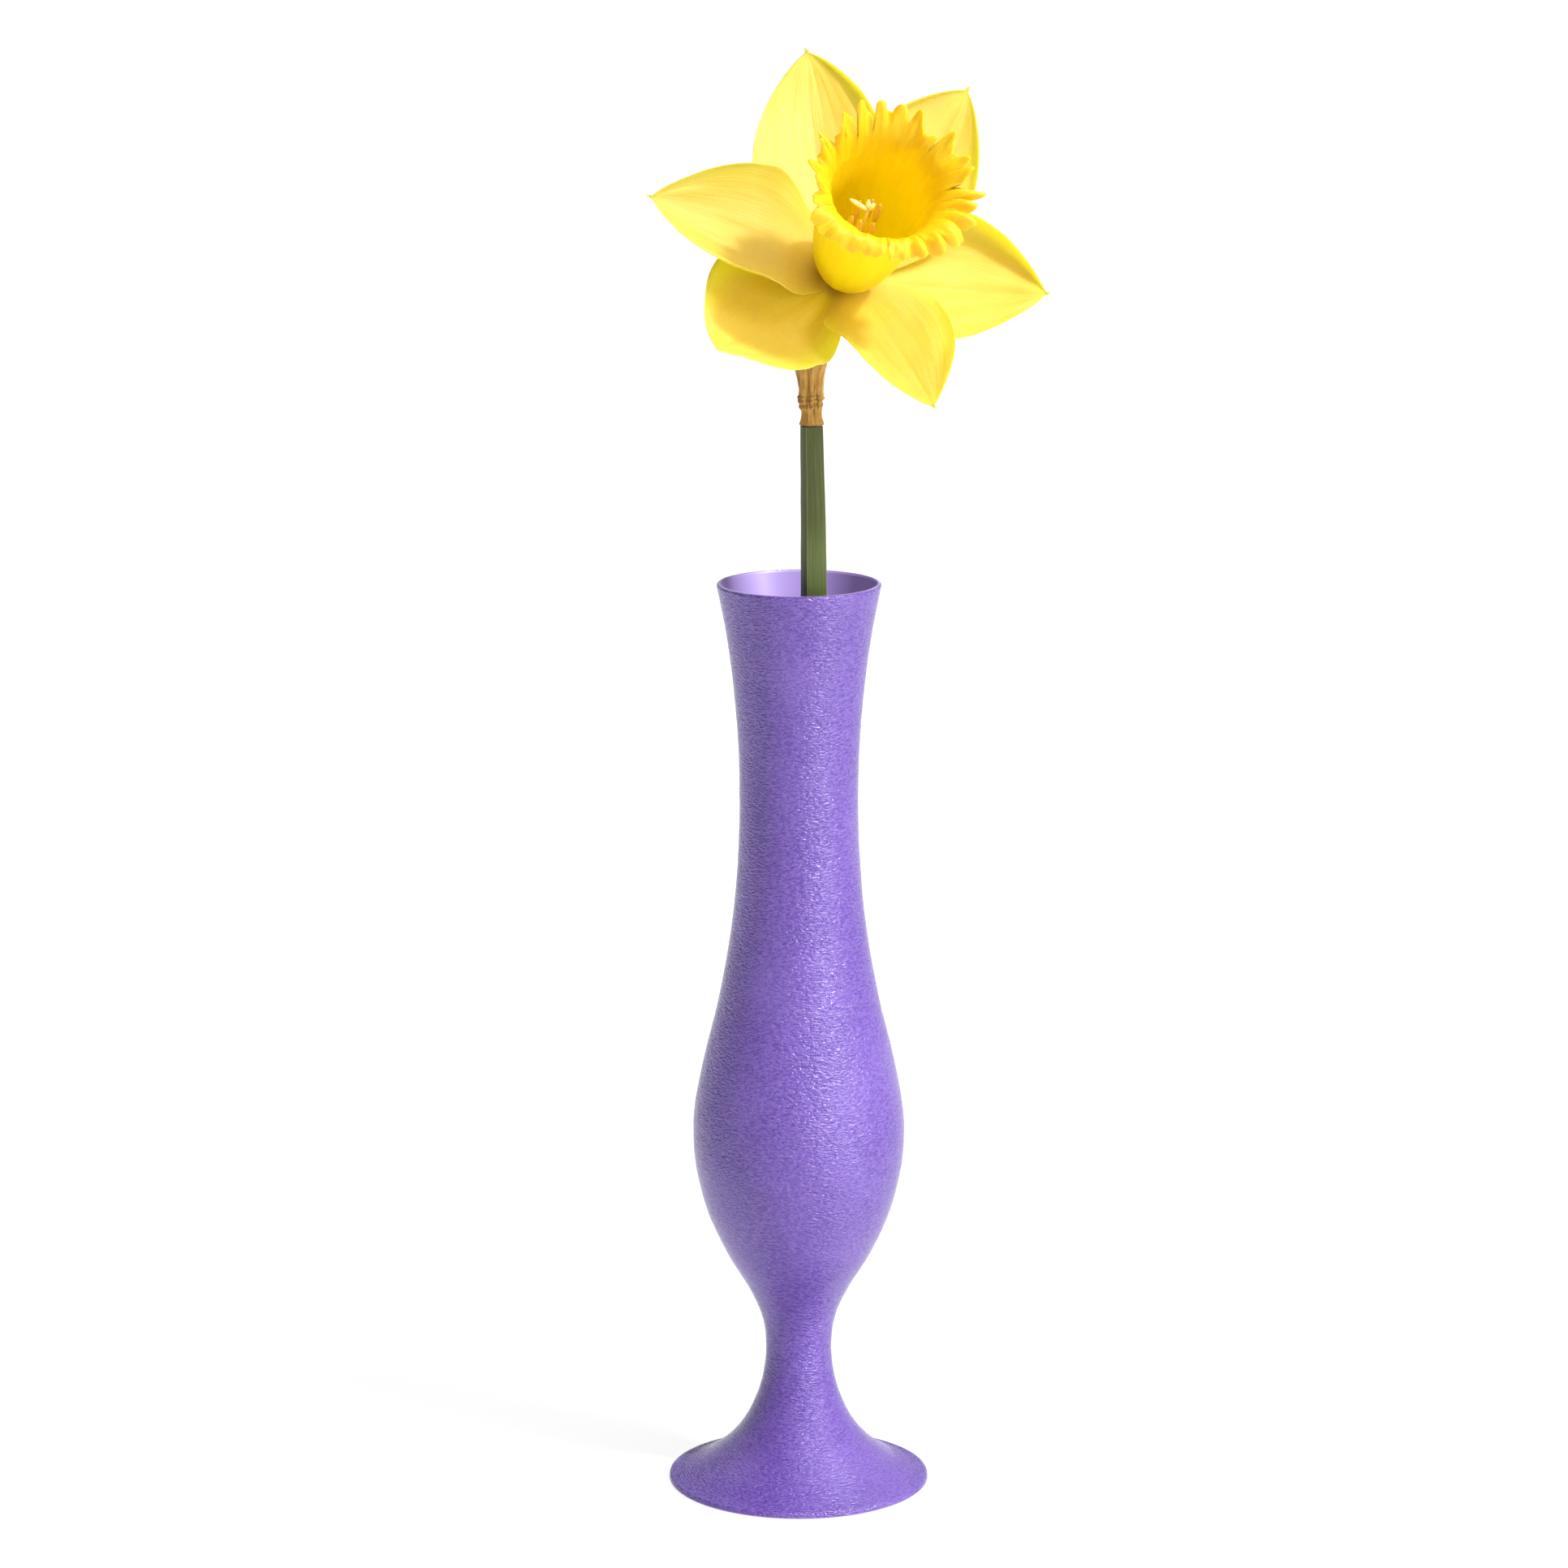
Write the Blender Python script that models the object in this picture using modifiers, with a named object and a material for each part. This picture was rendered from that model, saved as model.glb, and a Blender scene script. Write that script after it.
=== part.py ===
"""Trumpet daffodil standing in a footed bud vase.

Metres, +Z up. The origin is the centre of the vase's flat underside, and the flower
faces -Y. Run with blender --background --python part.py, or from the text editor.
"""
from collections import namedtuple
from math import atan2, cos, pi, radians, sin

import bmesh
import bpy
from mathutils import Matrix, Vector

MM = 0.001

# Room left between pieces that touch on the real thing
GAP = 0.3 * MM
# Points closer than this are welded into one
WELD = 0.01 * MM
# Edges bent by more than this are shaded sharp
SHARP_ANGLE = radians(50)
# Bevel resolution of thick bars and of thin ones
THICK_BAR = 4
THIN_BAR = 2

# Vase: height and radius along the outside, from the lip down to the foot's edge
VASE_OUTSIDE = [
    (216.0, 19.0), (212.0, 18.3), (204.0, 16.8), (192.0, 15.2), (178.0, 14.1),
    (163.0, 13.8), (148.0, 14.4), (133.0, 16.0), (118.0, 18.7), (104.0, 22.1),
    (92.0, 24.4), (84.0, 24.8), (76.0, 24.0), (66.0, 21.4), (56.0, 16.9),
    (48.0, 12.1), (41.0, 8.9), (34.5, 7.8), (28.0, 8.1), (21.5, 9.6),
    (15.0, 12.5), (10.0, 16.3), (6.0, 21.1), (3.0, 26.4), (1.6, 30.0),
]
FOOT_RADIUS = 30.7 * MM
FOOT_EDGE_HEIGHT = 1.1 * MM
# Cavity: height and radius of its rounded bottom, where the wall is thicker
CAVITY_BOTTOM = [(46.5, 0.0), (46.8, 3.5), (48.2, 7.0), (51.2, 10.6), (56.0, 14.3)]
# Height between that bottom and the first ring that follows the outside
CAVITY_BLEND = 5 * MM
VASE_WALL = 2.0 * MM
LIP_WALL = 1.2 * MM
LIP_TAPER = 22 * MM
VASE_SIDES = 36
OUTSIDE_POINTS = 37

WATER_LEVEL = 124 * MM
WATER_SIDES = 32
# Rings of the cavity nearer to the water's surface than this are skipped
SURFACE_BAND = 3 * MM
# How far the stem's hole runs on below the stem's cut end
HOLE_OVERRUN = 6 * MM

# Green scape: centre line and radius, from its cut end up to the spathe
STEM_ROUTE = [
    ((-1.0, 4.4, 48.9), 3.1), ((0.6, -1.2, 100.0), 3.1), ((2.7, -7.6, 163.0), 3.1),
    ((3.3, -8.5, 216.0), 3.05), ((2.8, -8.0, 253.5), 2.65),
]
STEM_POINTS = 16

# Pedicel: the centre line that the ovary's stalk and the spathe share, above the stem
PEDICEL = [(2.8, -8.0, 253.8), (2.7, -7.6, 256.5), (2.6, -7.0, 259.5), (2.5, -6.5, 262.5)]
PEDICEL_RADIUS = 1.3

# Ovary: centre line and radius from the top of the pedicel to the floral tube
OVARY_ROUTE = [(centre, PEDICEL_RADIUS) for centre in PEDICEL] + [
    ((2.5, -6.2, 265.2), 1.35), ((2.9, -6.7, 267.6), 1.8), ((3.9, -9.2, 269.6), 2.9),
    ((4.75, -12.8, 272.5), 3.2), ((5.65, -16.73, 275.65), 2.5),
]
OVARY_POINTS = 22

# Papery spathe: rings and radii up the pedicel, the split side facing the flower
SPATHE_WALL = 0.6 * MM
SPATHE_ROUTE = list(zip(PEDICEL, (2.35, 2.2, 2.4, 2.6))) + [
    ((2.5, -6.0, 266.5), 3.1), ((2.3, -4.8, 271.5), 4.4),
    ((1.4, -3.2, 280.0), 5.0), ((0.8, -2.2, 287.0), 4.4),
]
SPATHE_SIDES = 20
SPATHE_ROWS = 12
SPATHE_FRONT_REACH = 0.56
SPATHE_FOLD = 0.35 * MM
SPATHE_FOLDS = 7
# Share of the length over which the folds set in
SPATHE_FOLD_FADE = 0.25
# How narrow the split is: higher leaves less of the sheath beside it
SPATHE_SPLIT = 2.2

# Flower: where the petals meet, and where its axis points
FLOWER_CENTRE = Vector((10.1, -36.0, 291.1)) * MM
FLOWER_RISE = radians(38)
FLOWER_TURN = radians(13)

# Floral tube: distance along the flower's axis and radius, from the front boss back
TUBE_PROFILE = [
    (1.3, 0.0), (1.3, 3.3), (-1.6, 3.4), (-1.6, 6.6), (-2.3, 6.8), (-4.5, 5.2),
    (-9.0, 3.7), (-16.0, 2.8), (-24.8, 2.5), (-24.8, 0.0),
]
TUBE_SIDES = 24

# Petals: angles in degrees, lengths in millimetres, cw and ccw as seen from in front
Petal = namedtuple("Petal", (
    "name turn rise_base rise_tip length half_cw half_ccw cup_cw cup_ccw "
    "twist_base twist_more sway widest shoulder_cw shoulder_ccw layer"))
OUTER_LAYER = -0.9
INNER_LAYER = 0.4
PETALS = [
    Petal("outer_tepal_1", 98, 6, 20, 49.3, 15.2, 15.7, 0.47, 0.29,
          -2, -6, -4.1, 0.41, 1.30, 1.12, OUTER_LAYER),
    Petal("inner_tepal_1", 50, 13.5, 22, 47.1, 15.3, 14.2, 0.40, 0.61,
          2, 3, 1.0, 0.41, 1.00, 1.14, INNER_LAYER),
    Petal("outer_tepal_2", -14, 2, 21, 40.9, 15.3, 16.2, 0.41, 0.52,
          2, -7, 0.2, 0.42, 1.18, 1.12, OUTER_LAYER),
    Petal("inner_tepal_2", -69.5, 16, 26, 42.6, 13.6, 13.8, 0.83, 0.31,
          -4, 12, -5.5, 0.27, 1.05, 1.44, INNER_LAYER),
    Petal("outer_tepal_3", -146, 4, 41.5, 45.0, 18.7, 15.3, 0.49, 0.06,
          -8, 29, 3.2, 0.44, 0.84, 1.22, OUTER_LAYER),
    Petal("inner_tepal_3", 166, 26.5, 11, 44.6, 16.6, 14.2, 0.64, 0.96,
          0, -11, -1.1, 0.42, 0.84, 1.36, INNER_LAYER),
]
PETAL_THICKNESS = 0.7 * MM
PETAL_START = 4.0 * MM
CLAW_WIDTH = 0.36
PETAL_BLUNTNESS = 0.8
# Share of the length over which cup and twist set in
PETAL_FADE = 0.45
PETAL_ROWS = 14
PETAL_COLUMNS = 8
EDGE_WAVE = 0.35 * MM
EDGE_WAVES = 2.5
NEARLY_FLAT = 0.0001

# Corona: distance along the axis and radius of the trumpet, below its frill
TRUMPET_PROFILE = [
    (1.9, 3.9), (2.9, 6.0), (4.8, 7.2), (9.0, 8.7), (17.0, 10.3), (26.0, 11.0), (34.0, 11.6),
]
TRUMPET_ROWS = 6
FRILL_ROWS = 5
CORONA_THICKNESS = 0.7 * MM
# The trumpet bows off its axis: to the flower's right and down, where it is MOUTH_AT long
MOUTH_BOW = Vector((1.7, -1.8)) * MM
MOUTH_AT = 40 * MM
# Frill lobes round the mouth: angle, reach from the axis, distance along the axis
LOBES = [
    (2, 16.8, 40.5), (17, 18.2, 41.0), (33, 17.9, 41.5), (47, 16.4, 42.3),
    (60, 17.7, 43.0), (74, 18.3, 43.0), (88, 18.0, 43.5), (104, 17.7, 44.0),
    (119, 18.4, 44.0), (131, 18.2, 43.5), (142, 19.6, 43.5), (153, 18.6, 43.2),
    (167, 17.8, 43.0), (181, 18.6, 42.0), (193, 18.8, 41.5), (205, 20.6, 40.5),
    (218, 20.8, 40.0), (234, 19.1, 39.5), (252, 18.7, 39.0), (269, 17.7, 38.5),
    (284, 17.9, 38.2), (298, 19.5, 38.0), (314, 19.8, 38.0), (329, 19.9, 38.5),
    (340, 19.2, 39.0), (350, 19.8, 39.3),
]
# Columns of the frill between one lobe's middle and the next, the notch halfway
LOBE_COLUMNS = (0.0, 0.32, 0.5, 0.68)
# Depth of the notches in the upper rim and in the lower lip, as a share of the flare
NOTCH_ABOVE = 0.45
NOTCH_BELOW = 0.22
NOTCH_SHARPNESS = 2.6
# A lobe's middle swells back along the axis and a little outward
PLEAT_BACK = 0.72 * MM
PLEAT_OUT = 0.32 * MM
# Where the flare leaves the trumpet and turns over
FLARE_LEAVES_AT = (38.5, 12.2)
FLARE_TURNS_AT = 42.3

# Stamens: tips of the six anthers, right, up and out along the flower's axis
ANTHER_TIPS = [
    (3.1, 0.5, 28.0), (1.8, 3.0, 26.5), (-1.6, 3.2, 26.0),
    (-4.1, -0.4, 24.5), (-2.2, -1.9, 25.2), (1.2, -2.8, 24.5),
]
ANTHER_LENGTH = 7.5 * MM
ANTHER_WIDTH = 1.7 * MM
FILAMENT_RADIUS = 0.45 * MM
STAMEN_RING = (1.3, 2.8)
STAMEN_RING_HEIGHT = 0.8 * MM
FILAMENT_CIRCLE = 2.1 * MM
FILAMENT_SINK = 0.4 * MM
FILAMENT_REACH = 1.0 * MM
CAPSULE_FACES = 8

# Pistil: the style's centre line and radius, right, up and out along the flower's axis,
# and where each lobe of its stigma starts and ends
STYLE_ROUTE = [((0.0, 0.0, 1.6), 0.6), ((0.0, 0.0, 15.0), 0.55), ((0.0, 0.1, 27.0), 0.6)]
STYLE_POINTS = 8
STIGMA_LOBES = [
    ((0.2, 0.0, 26.3), (-4.4, 1.6, 29.0)), ((-0.2, 0.0, 26.4), (1.2, 0.6, 28.4)),
    ((0.0, -0.2, 26.4), (-0.1, 1.7, 28.4)),
]
STIGMA_WIDTH = 1.1 * MM

COLOURS = {
    "vase": ((0.25, 0.13, 0.58), 0.45),
    "water": ((0.75, 0.86, 0.88), 0.1),
    "stem": ((0.10, 0.17, 0.05), 0.5),
    "spathe": ((0.42, 0.24, 0.09), 0.7),
    "ovary": ((0.14, 0.25, 0.06), 0.5),
    "floral_tube": ((0.45, 0.50, 0.08), 0.5),
    "tepal": ((0.92, 0.76, 0.12), 0.5),
    "corona": ((0.90, 0.58, 0.0), 0.5),
    "stamens": ((0.75, 0.38, 0.02), 0.7),
    "pistil": ((0.90, 0.80, 0.30), 0.5),
}


def clear_scene():
    for old in list(bpy.data.objects):
        bpy.data.objects.remove(old)


def new_collection(name):
    collection = bpy.data.collections.new(name)
    bpy.context.scene.collection.children.link(collection)
    return collection


def material(name):
    colour, roughness = COLOURS[name]
    made = bpy.data.materials.new(name)
    made.use_nodes = True
    shader = made.node_tree.nodes["Principled BSDF"]
    shader.inputs["Base Color"].default_value = (*colour, 1.0)
    shader.inputs["Roughness"].default_value = roughness
    shader.inputs["Metallic"].default_value = 0.0
    return made


def add_object(name, mesh, collection, look):
    """Put a mesh in the scene as one named, smooth-shaded piece."""
    piece = bpy.data.objects.new(name, mesh)
    collection.objects.link(piece)
    if look:
        mesh.materials.clear()
        mesh.materials.append(material(look))
    mesh.shade_smooth()
    mesh.set_sharp_from_angle(angle=SHARP_ANGLE)
    return piece


def smooth_step(x):
    x = min(max(x, 0.0), 1.0)
    return x * x * (3 - 2 * x)


def curve_through(points, share):
    """Point at a share (0 to 1) along a Catmull-Rom curve through the points."""
    last = len(points) - 1
    place = min(max(share, 0.0), 1.0) * last
    i = min(int(place), last - 1)
    t = place - i
    b, c = Vector(points[i]), Vector(points[i + 1])
    a = Vector(points[i - 1]) if i > 0 else b * 2 - c
    d = Vector(points[i + 2]) if i + 2 <= last else c * 2 - b
    return 0.5 * (b * 2 + (c - a) * t + (a * 2 - b * 5 + c * 4 - d) * t ** 2
                  + (b * 3 - a - c * 3 + d) * t ** 3)


def route_samples(route, count):
    """Centres and radii, in metres, along a route of ((x, y, z), radius) in millimetres."""
    points = [(*centre, radius) for centre, radius in route]
    samples = [curve_through(points, i / (count - 1)) * MM for i in range(count)]
    return [(Vector(s[:3]), s[3]) for s in samples]


def turned_mesh(name, profile, sides):
    """Turn a profile of (radius, height), listed down its outer side, about Z."""
    mesh = bpy.data.meshes.new(name)
    bm = bmesh.new()
    points = [bm.verts.new((radius, 0.0, height)) for radius, height in profile]
    for a, b in zip(points, points[1:]):
        bm.edges.new((a, b))
    bm.to_mesh(mesh)
    bm.free()
    guide = bpy.data.objects.new(name + "_profile", mesh)
    bpy.context.scene.collection.objects.link(guide)
    screw = guide.modifiers.new("turn", "SCREW")
    screw.axis = "Z"
    screw.steps = sides
    screw.render_steps = sides
    screw.use_merge_vertices = True
    screw.merge_threshold = WELD
    return evaluated_mesh(guide)


def evaluated_mesh(piece):
    """The piece's mesh with its modifiers applied, welded; the piece is removed."""
    graph = bpy.context.evaluated_depsgraph_get()
    mesh = bpy.data.meshes.new_from_object(piece.evaluated_get(graph))
    bpy.data.objects.remove(piece)
    bm = bmesh.new()
    bm.from_mesh(mesh)
    bmesh.ops.remove_doubles(bm, verts=bm.verts, dist=WELD)
    bm.to_mesh(mesh)
    bm.free()
    return mesh


def tube_mesh(name, samples, sides_level):
    """A round bar along (centre, radius) samples, from a bevelled poly curve."""
    curve = bpy.data.curves.new(name, "CURVE")
    curve.dimensions = "3D"
    curve.bevel_depth = 1.0
    curve.bevel_resolution = sides_level
    curve.use_fill_caps = True
    spline = curve.splines.new("POLY")
    spline.points.add(len(samples) - 1)
    for point, (centre, radius) in zip(spline.points, samples):
        point.co = (*centre, 1.0)
        point.radius = radius
    guide = bpy.data.objects.new(name + "_route", curve)
    bpy.context.scene.collection.objects.link(guide)
    return evaluated_mesh(guide)


def sheet_mesh(name, rows, columns, thickness, place):
    """A thin blade: a grid laid out by place(u, v), split in triangles, then thickened."""
    mesh = bpy.data.meshes.new(name)
    bm = bmesh.new()
    bmesh.ops.create_grid(bm, x_segments=columns, y_segments=rows, size=1.0)
    for vert in bm.verts:
        vert.co = place((vert.co.y + 1) / 2, (vert.co.x + 1) / 2)
    bmesh.ops.remove_doubles(bm, verts=bm.verts, dist=WELD)
    bmesh.ops.triangulate(bm, faces=bm.faces)
    bm.to_mesh(mesh)
    bm.free()
    guide = bpy.data.objects.new(name + "_sheet", mesh)
    bpy.context.scene.collection.objects.link(guide)
    solidify = guide.modifiers.new("thickness", "SOLIDIFY")
    solidify.thickness = thickness
    solidify.offset = 0.0
    return evaluated_mesh(guide)


def flower_axes():
    """Right, up and out directions of the flower."""
    out = Vector((cos(FLOWER_RISE) * sin(FLOWER_TURN), -cos(FLOWER_RISE) * cos(FLOWER_TURN),
                  sin(FLOWER_RISE)))
    up = (Vector((0, 0, 1)) - out * out.z).normalized()
    return up.cross(out), up, out


def flower_matrix():
    """Takes right, up and out from the flower's centre to the world."""
    right, up, out = flower_axes()
    turn = Matrix((right, up, out)).transposed().to_4x4()
    return Matrix.Translation(FLOWER_CENTRE) @ turn


def vase_profile_outside():
    points = [(radius, height) for height, radius in VASE_OUTSIDE]
    count = OUTSIDE_POINTS
    return [curve_through(points, i / (count - 1)) * MM for i in range(count)]


def vase_cavity():
    """Cavity as (radius, height) in metres, from the bottom up to the lip."""
    bottom = [Vector((radius, height)) * MM for height, radius in CAVITY_BOTTOM]
    top = VASE_OUTSIDE[0][0] * MM
    sides = []
    for radius, height in reversed([(r * MM, z * MM) for z, r in VASE_OUTSIDE]):
        if height > bottom[-1].y + CAVITY_BLEND:
            near_lip = smooth_step(1 - (top - height) / LIP_TAPER)
            wall = VASE_WALL + (LIP_WALL - VASE_WALL) * near_lip
            sides.append(Vector((radius - wall, height)))
    return bottom + sides


def make_vase(collection):
    inside = vase_cavity()
    outside = vase_profile_outside()
    foot = [Vector((FOOT_RADIUS, FOOT_EDGE_HEIGHT)), Vector((FOOT_RADIUS, 0)), Vector((0, 0))]
    mesh = turned_mesh("vase", inside + outside + foot, VASE_SIDES)
    return add_object("vase", mesh, collection, "vase")


def make_stem(collection):
    mesh = tube_mesh("stem", route_samples(STEM_ROUTE, STEM_POINTS), THICK_BAR)
    return add_object("stem", mesh, collection, "stem")


def make_water(collection, cutters):
    """Fills the cavity up to its level, with a plain hole for the stem."""
    wet = [p for p in vase_cavity() if p.y < WATER_LEVEL - SURFACE_BAND]
    floor = [Vector((max(p.x - GAP, 0.0), p.y + GAP)) for p in wet]
    below = [p for p in vase_cavity() if p.y <= WATER_LEVEL][-1]
    above = [p for p in vase_cavity() if p.y > WATER_LEVEL][0]
    share = (WATER_LEVEL - below.y) / (above.y - below.y)
    edge = below.lerp(above, share).x - GAP
    profile = [Vector((0, WATER_LEVEL)), Vector((edge, WATER_LEVEL))] + floor[::-1]
    water = add_object("water", turned_mesh("water", profile, WATER_SIDES), collection, "water")
    hole = [(centre, radius + GAP) for centre, radius in route_samples(STEM_ROUTE, STEM_POINTS)]
    first, radius = hole[0]
    hole.insert(0, (first + (first - hole[1][0]).normalized() * HOLE_OVERRUN, radius))
    cutter = add_object("stem_hole", tube_mesh("stem_hole", hole, THICK_BAR), cutters, None)
    cutter.hide_render = True
    cutter.display_type = "WIRE"
    cut = water.modifiers.new("stem hole", "BOOLEAN")
    cut.operation = "DIFFERENCE"
    cut.object = cutter
    return water


def make_ovary(collection):
    mesh = tube_mesh("ovary", route_samples(OVARY_ROUTE, OVARY_POINTS), THICK_BAR)
    return add_object("ovary", mesh, collection, "ovary")


def make_spathe(collection):
    """A sheath closed below and open to the flower above, with folds down its length."""
    _, _, out = flower_axes()
    front = atan2(out.y, out.x)
    route = [(*centre, radius) for centre, radius in SPATHE_ROUTE]

    def place(u, v):
        turn = 2 * pi * v
        back = 0.5 - 0.5 * cos(turn - front)
        reach = u * (SPATHE_FRONT_REACH + (1 - SPATHE_FRONT_REACH) * back ** SPATHE_SPLIT)
        x, y, z, radius = curve_through(route, reach) * MM
        radius += SPATHE_FOLD * smooth_step(reach / SPATHE_FOLD_FADE) * sin(SPATHE_FOLDS * turn)
        return Vector((x + radius * cos(turn), y + radius * sin(turn), z))

    mesh = sheet_mesh("spathe", SPATHE_ROWS, SPATHE_SIDES, SPATHE_WALL, place)
    return add_object("spathe", mesh, collection, "spathe")


def make_floral_tube(collection):
    profile = [(radius * MM, along * MM) for along, radius in TUBE_PROFILE]
    mesh = turned_mesh("floral_tube", profile, TUBE_SIDES)
    mesh.transform(flower_matrix())
    return add_object("floral_tube", mesh, collection, "floral_tube")


def petal_half_width(petal, u, shoulder):
    """Half width at u along the petal, as a share of the widest."""
    if u < petal.widest:
        return CLAW_WIDTH + (1 - CLAW_WIDTH) * sin(pi / 2 * u / petal.widest)
    past = (u - petal.widest) / (1 - petal.widest)
    return max(cos(pi / 2 * past ** shoulder), 0.0) ** PETAL_BLUNTNESS


def petal_point(petal, u, v):
    """Right, up and out of a petal's middle surface; v runs from -1, clockwise, to 1."""
    rise_base, rise_tip = radians(petal.rise_base), radians(petal.rise_tip)
    length = petal.length * MM
    bend = rise_tip - rise_base
    rise = rise_base + bend * u
    along = PETAL_START + length * (sin(rise) - sin(rise_base)) / bend
    height = petal.layer * MM + length * (cos(rise_base) - cos(rise)) / bend
    turn = radians(petal.turn)
    radial = Vector((cos(turn), sin(turn), 0))
    side = Vector((-sin(turn), cos(turn), 0))
    out = Vector((0, 0, 1))
    normal = out * cos(rise) - radial * sin(rise)
    set_in = smooth_step(u / PETAL_FADE)
    twist = radians(petal.twist_base + petal.twist_more * u) * set_in
    across = side * cos(twist) + normal * sin(twist)
    lift_way = normal * cos(twist) - side * sin(twist)
    if v < 0:
        widest, cup, shoulder, way = petal.half_cw, petal.cup_cw, petal.shoulder_cw, -1
    else:
        widest, cup, shoulder, way = petal.half_ccw, petal.cup_ccw, petal.shoulder_ccw, 1
    half = widest * MM * petal_half_width(petal, u, shoulder)
    cup = cup * set_in + NEARLY_FLAT
    wide = sin(cup * abs(v)) / cup * half * way
    lift = (1 - cos(cup * abs(v))) / cup * half
    wave = sin(2 * pi * EDGE_WAVES * u + petal.turn + v) * abs(v) ** 3 * set_in * (1 - u)
    rib = radial * along + out * height + side * petal.sway * MM * u ** 2
    return rib + across * wide + lift_way * (lift + EDGE_WAVE * wave)


def make_petal(collection, petal):
    mesh = sheet_mesh(petal.name, PETAL_ROWS, PETAL_COLUMNS, PETAL_THICKNESS,
                      lambda u, v: petal_point(petal, u, 2 * v - 1))
    mesh.transform(flower_matrix())
    return add_object(petal.name, mesh, collection, "tepal")


def lobe_at(column):
    """Angle, reach, distance out and phase (-0.5 to 0.5) at a column of the frill."""
    i = column // len(LOBE_COLUMNS) % len(LOBES)
    share = LOBE_COLUMNS[column % len(LOBE_COLUMNS)]
    this, following = LOBES[i], LOBES[(i + 1) % len(LOBES)]
    span = (following[0] - this[0]) % 360
    angle = this[0] + span * share
    blend = smooth_step(share)
    reach = this[1] + (following[1] - this[1]) * blend
    out = this[2] + (following[2] - this[2]) * blend
    phase = share if share <= 0.5 else share - 1
    return radians(angle), reach, out, phase


def flare_point(reach, out, t):
    """Distance out and radius on the frill's flare, a cubic from the trumpet to a lobe tip."""
    start = Vector(TRUMPET_PROFILE[-1])
    turn = Vector((FLARE_TURNS_AT, (FLARE_LEAVES_AT[1] + reach) / 2))
    return (start * (1 - t) ** 3 + Vector(FLARE_LEAVES_AT) * 3 * t * (1 - t) ** 2
            + turn * 3 * t ** 2 * (1 - t) + Vector((out, reach)) * t ** 3)


def corona_point(row, column):
    """Right, up and out on the corona's middle surface, rows counted from its base."""
    angle, reach, out, phase = lobe_at(column)
    if row <= TRUMPET_ROWS:
        along, radius = curve_through(TRUMPET_PROFILE, row / TRUMPET_ROWS) * MM
        pleat = 0.0
    else:
        share = (row - TRUMPET_ROWS) / FRILL_ROWS
        depth = NOTCH_BELOW + (NOTCH_ABOVE - NOTCH_BELOW) * (0.5 + 0.5 * sin(angle))
        notch = depth * abs(2 * phase) ** NOTCH_SHARPNESS
        along, radius = flare_point(reach, out, share * (1 - notch)) * MM
        pleat = cos(2 * pi * phase) * share
    bow = MOUTH_BOW * (along / MOUTH_AT) ** 2
    radius += PLEAT_OUT * pleat
    along -= PLEAT_BACK * pleat
    return Vector((bow.x + radius * cos(angle), bow.y + radius * sin(angle), along))


def make_corona(collection):
    rows = TRUMPET_ROWS + FRILL_ROWS
    columns = len(LOBE_COLUMNS) * len(LOBES)
    mesh = sheet_mesh("corona", rows, columns, CORONA_THICKNESS,
                      lambda u, v: corona_point(round(u * rows), round(v * columns)))
    mesh.transform(flower_matrix())
    return add_object("corona", mesh, collection, "corona")


def join_all(name, core, parts, collection, look):
    """Union the objects of a collection with a core mesh into one piece."""
    piece = add_object(name, core, collection, look)
    union = piece.modifiers.new("union", "BOOLEAN")
    union.operation = "UNION"
    union.operand_type = "COLLECTION"
    union.collection = parts
    graph = bpy.context.evaluated_depsgraph_get()
    mesh = bpy.data.meshes.new_from_object(piece.evaluated_get(graph))
    piece.modifiers.clear()
    piece.data = mesh
    for part in list(parts.objects):
        bpy.data.objects.remove(part)
    bpy.data.collections.remove(parts)
    return piece


def capsule_mesh(name, start, end, radius):
    """A long ellipsoid from start to end."""
    mesh = bpy.data.meshes.new(name)
    bm = bmesh.new()
    turn = (end - start).to_track_quat("Z", "Y").to_matrix().to_4x4()
    size = Matrix.Diagonal((radius, radius, (end - start).length / 2, 1.0))
    place = Matrix.Translation((start + end) / 2) @ turn @ size
    bmesh.ops.create_uvsphere(bm, u_segments=CAPSULE_FACES, v_segments=CAPSULE_FACES, radius=1.0,
                              matrix=place)
    bm.to_mesh(mesh)
    bm.free()
    return mesh


def make_stamens(collection):
    """Six anthers on filaments that stand on a ring round the style."""
    base = TUBE_PROFILE[0][0] * MM + GAP
    top = base + STAMEN_RING_HEIGHT
    inner, outer = [radius * MM for radius in STAMEN_RING]
    outline = [(inner, base), (inner, top), (outer, top), (outer, base), (inner, base)]
    ring = turned_mesh("stamens", outline, TUBE_SIDES)
    parts = new_collection("stamen_parts")
    for i, tip in enumerate(ANTHER_TIPS):
        tip = Vector(tip) * MM
        turn = atan2(tip.y, tip.x)
        foot = Vector((FILAMENT_CIRCLE * cos(turn), FILAMENT_CIRCLE * sin(turn), top - FILAMENT_SINK))
        way = (tip - foot).normalized()
        joint = tip - way * ANTHER_LENGTH
        filament = [(foot, FILAMENT_RADIUS), (joint + way * FILAMENT_REACH, FILAMENT_RADIUS)]
        add_object(f"filament_{i}", tube_mesh(f"filament_{i}", filament, THIN_BAR), parts, None)
        anther = capsule_mesh(f"anther_{i}", joint, tip, ANTHER_WIDTH / 2)
        add_object(f"anther_{i}", anther, parts, None)
    piece = join_all("stamens", ring, parts, collection, "stamens")
    piece.data.transform(flower_matrix())
    return piece


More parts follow.
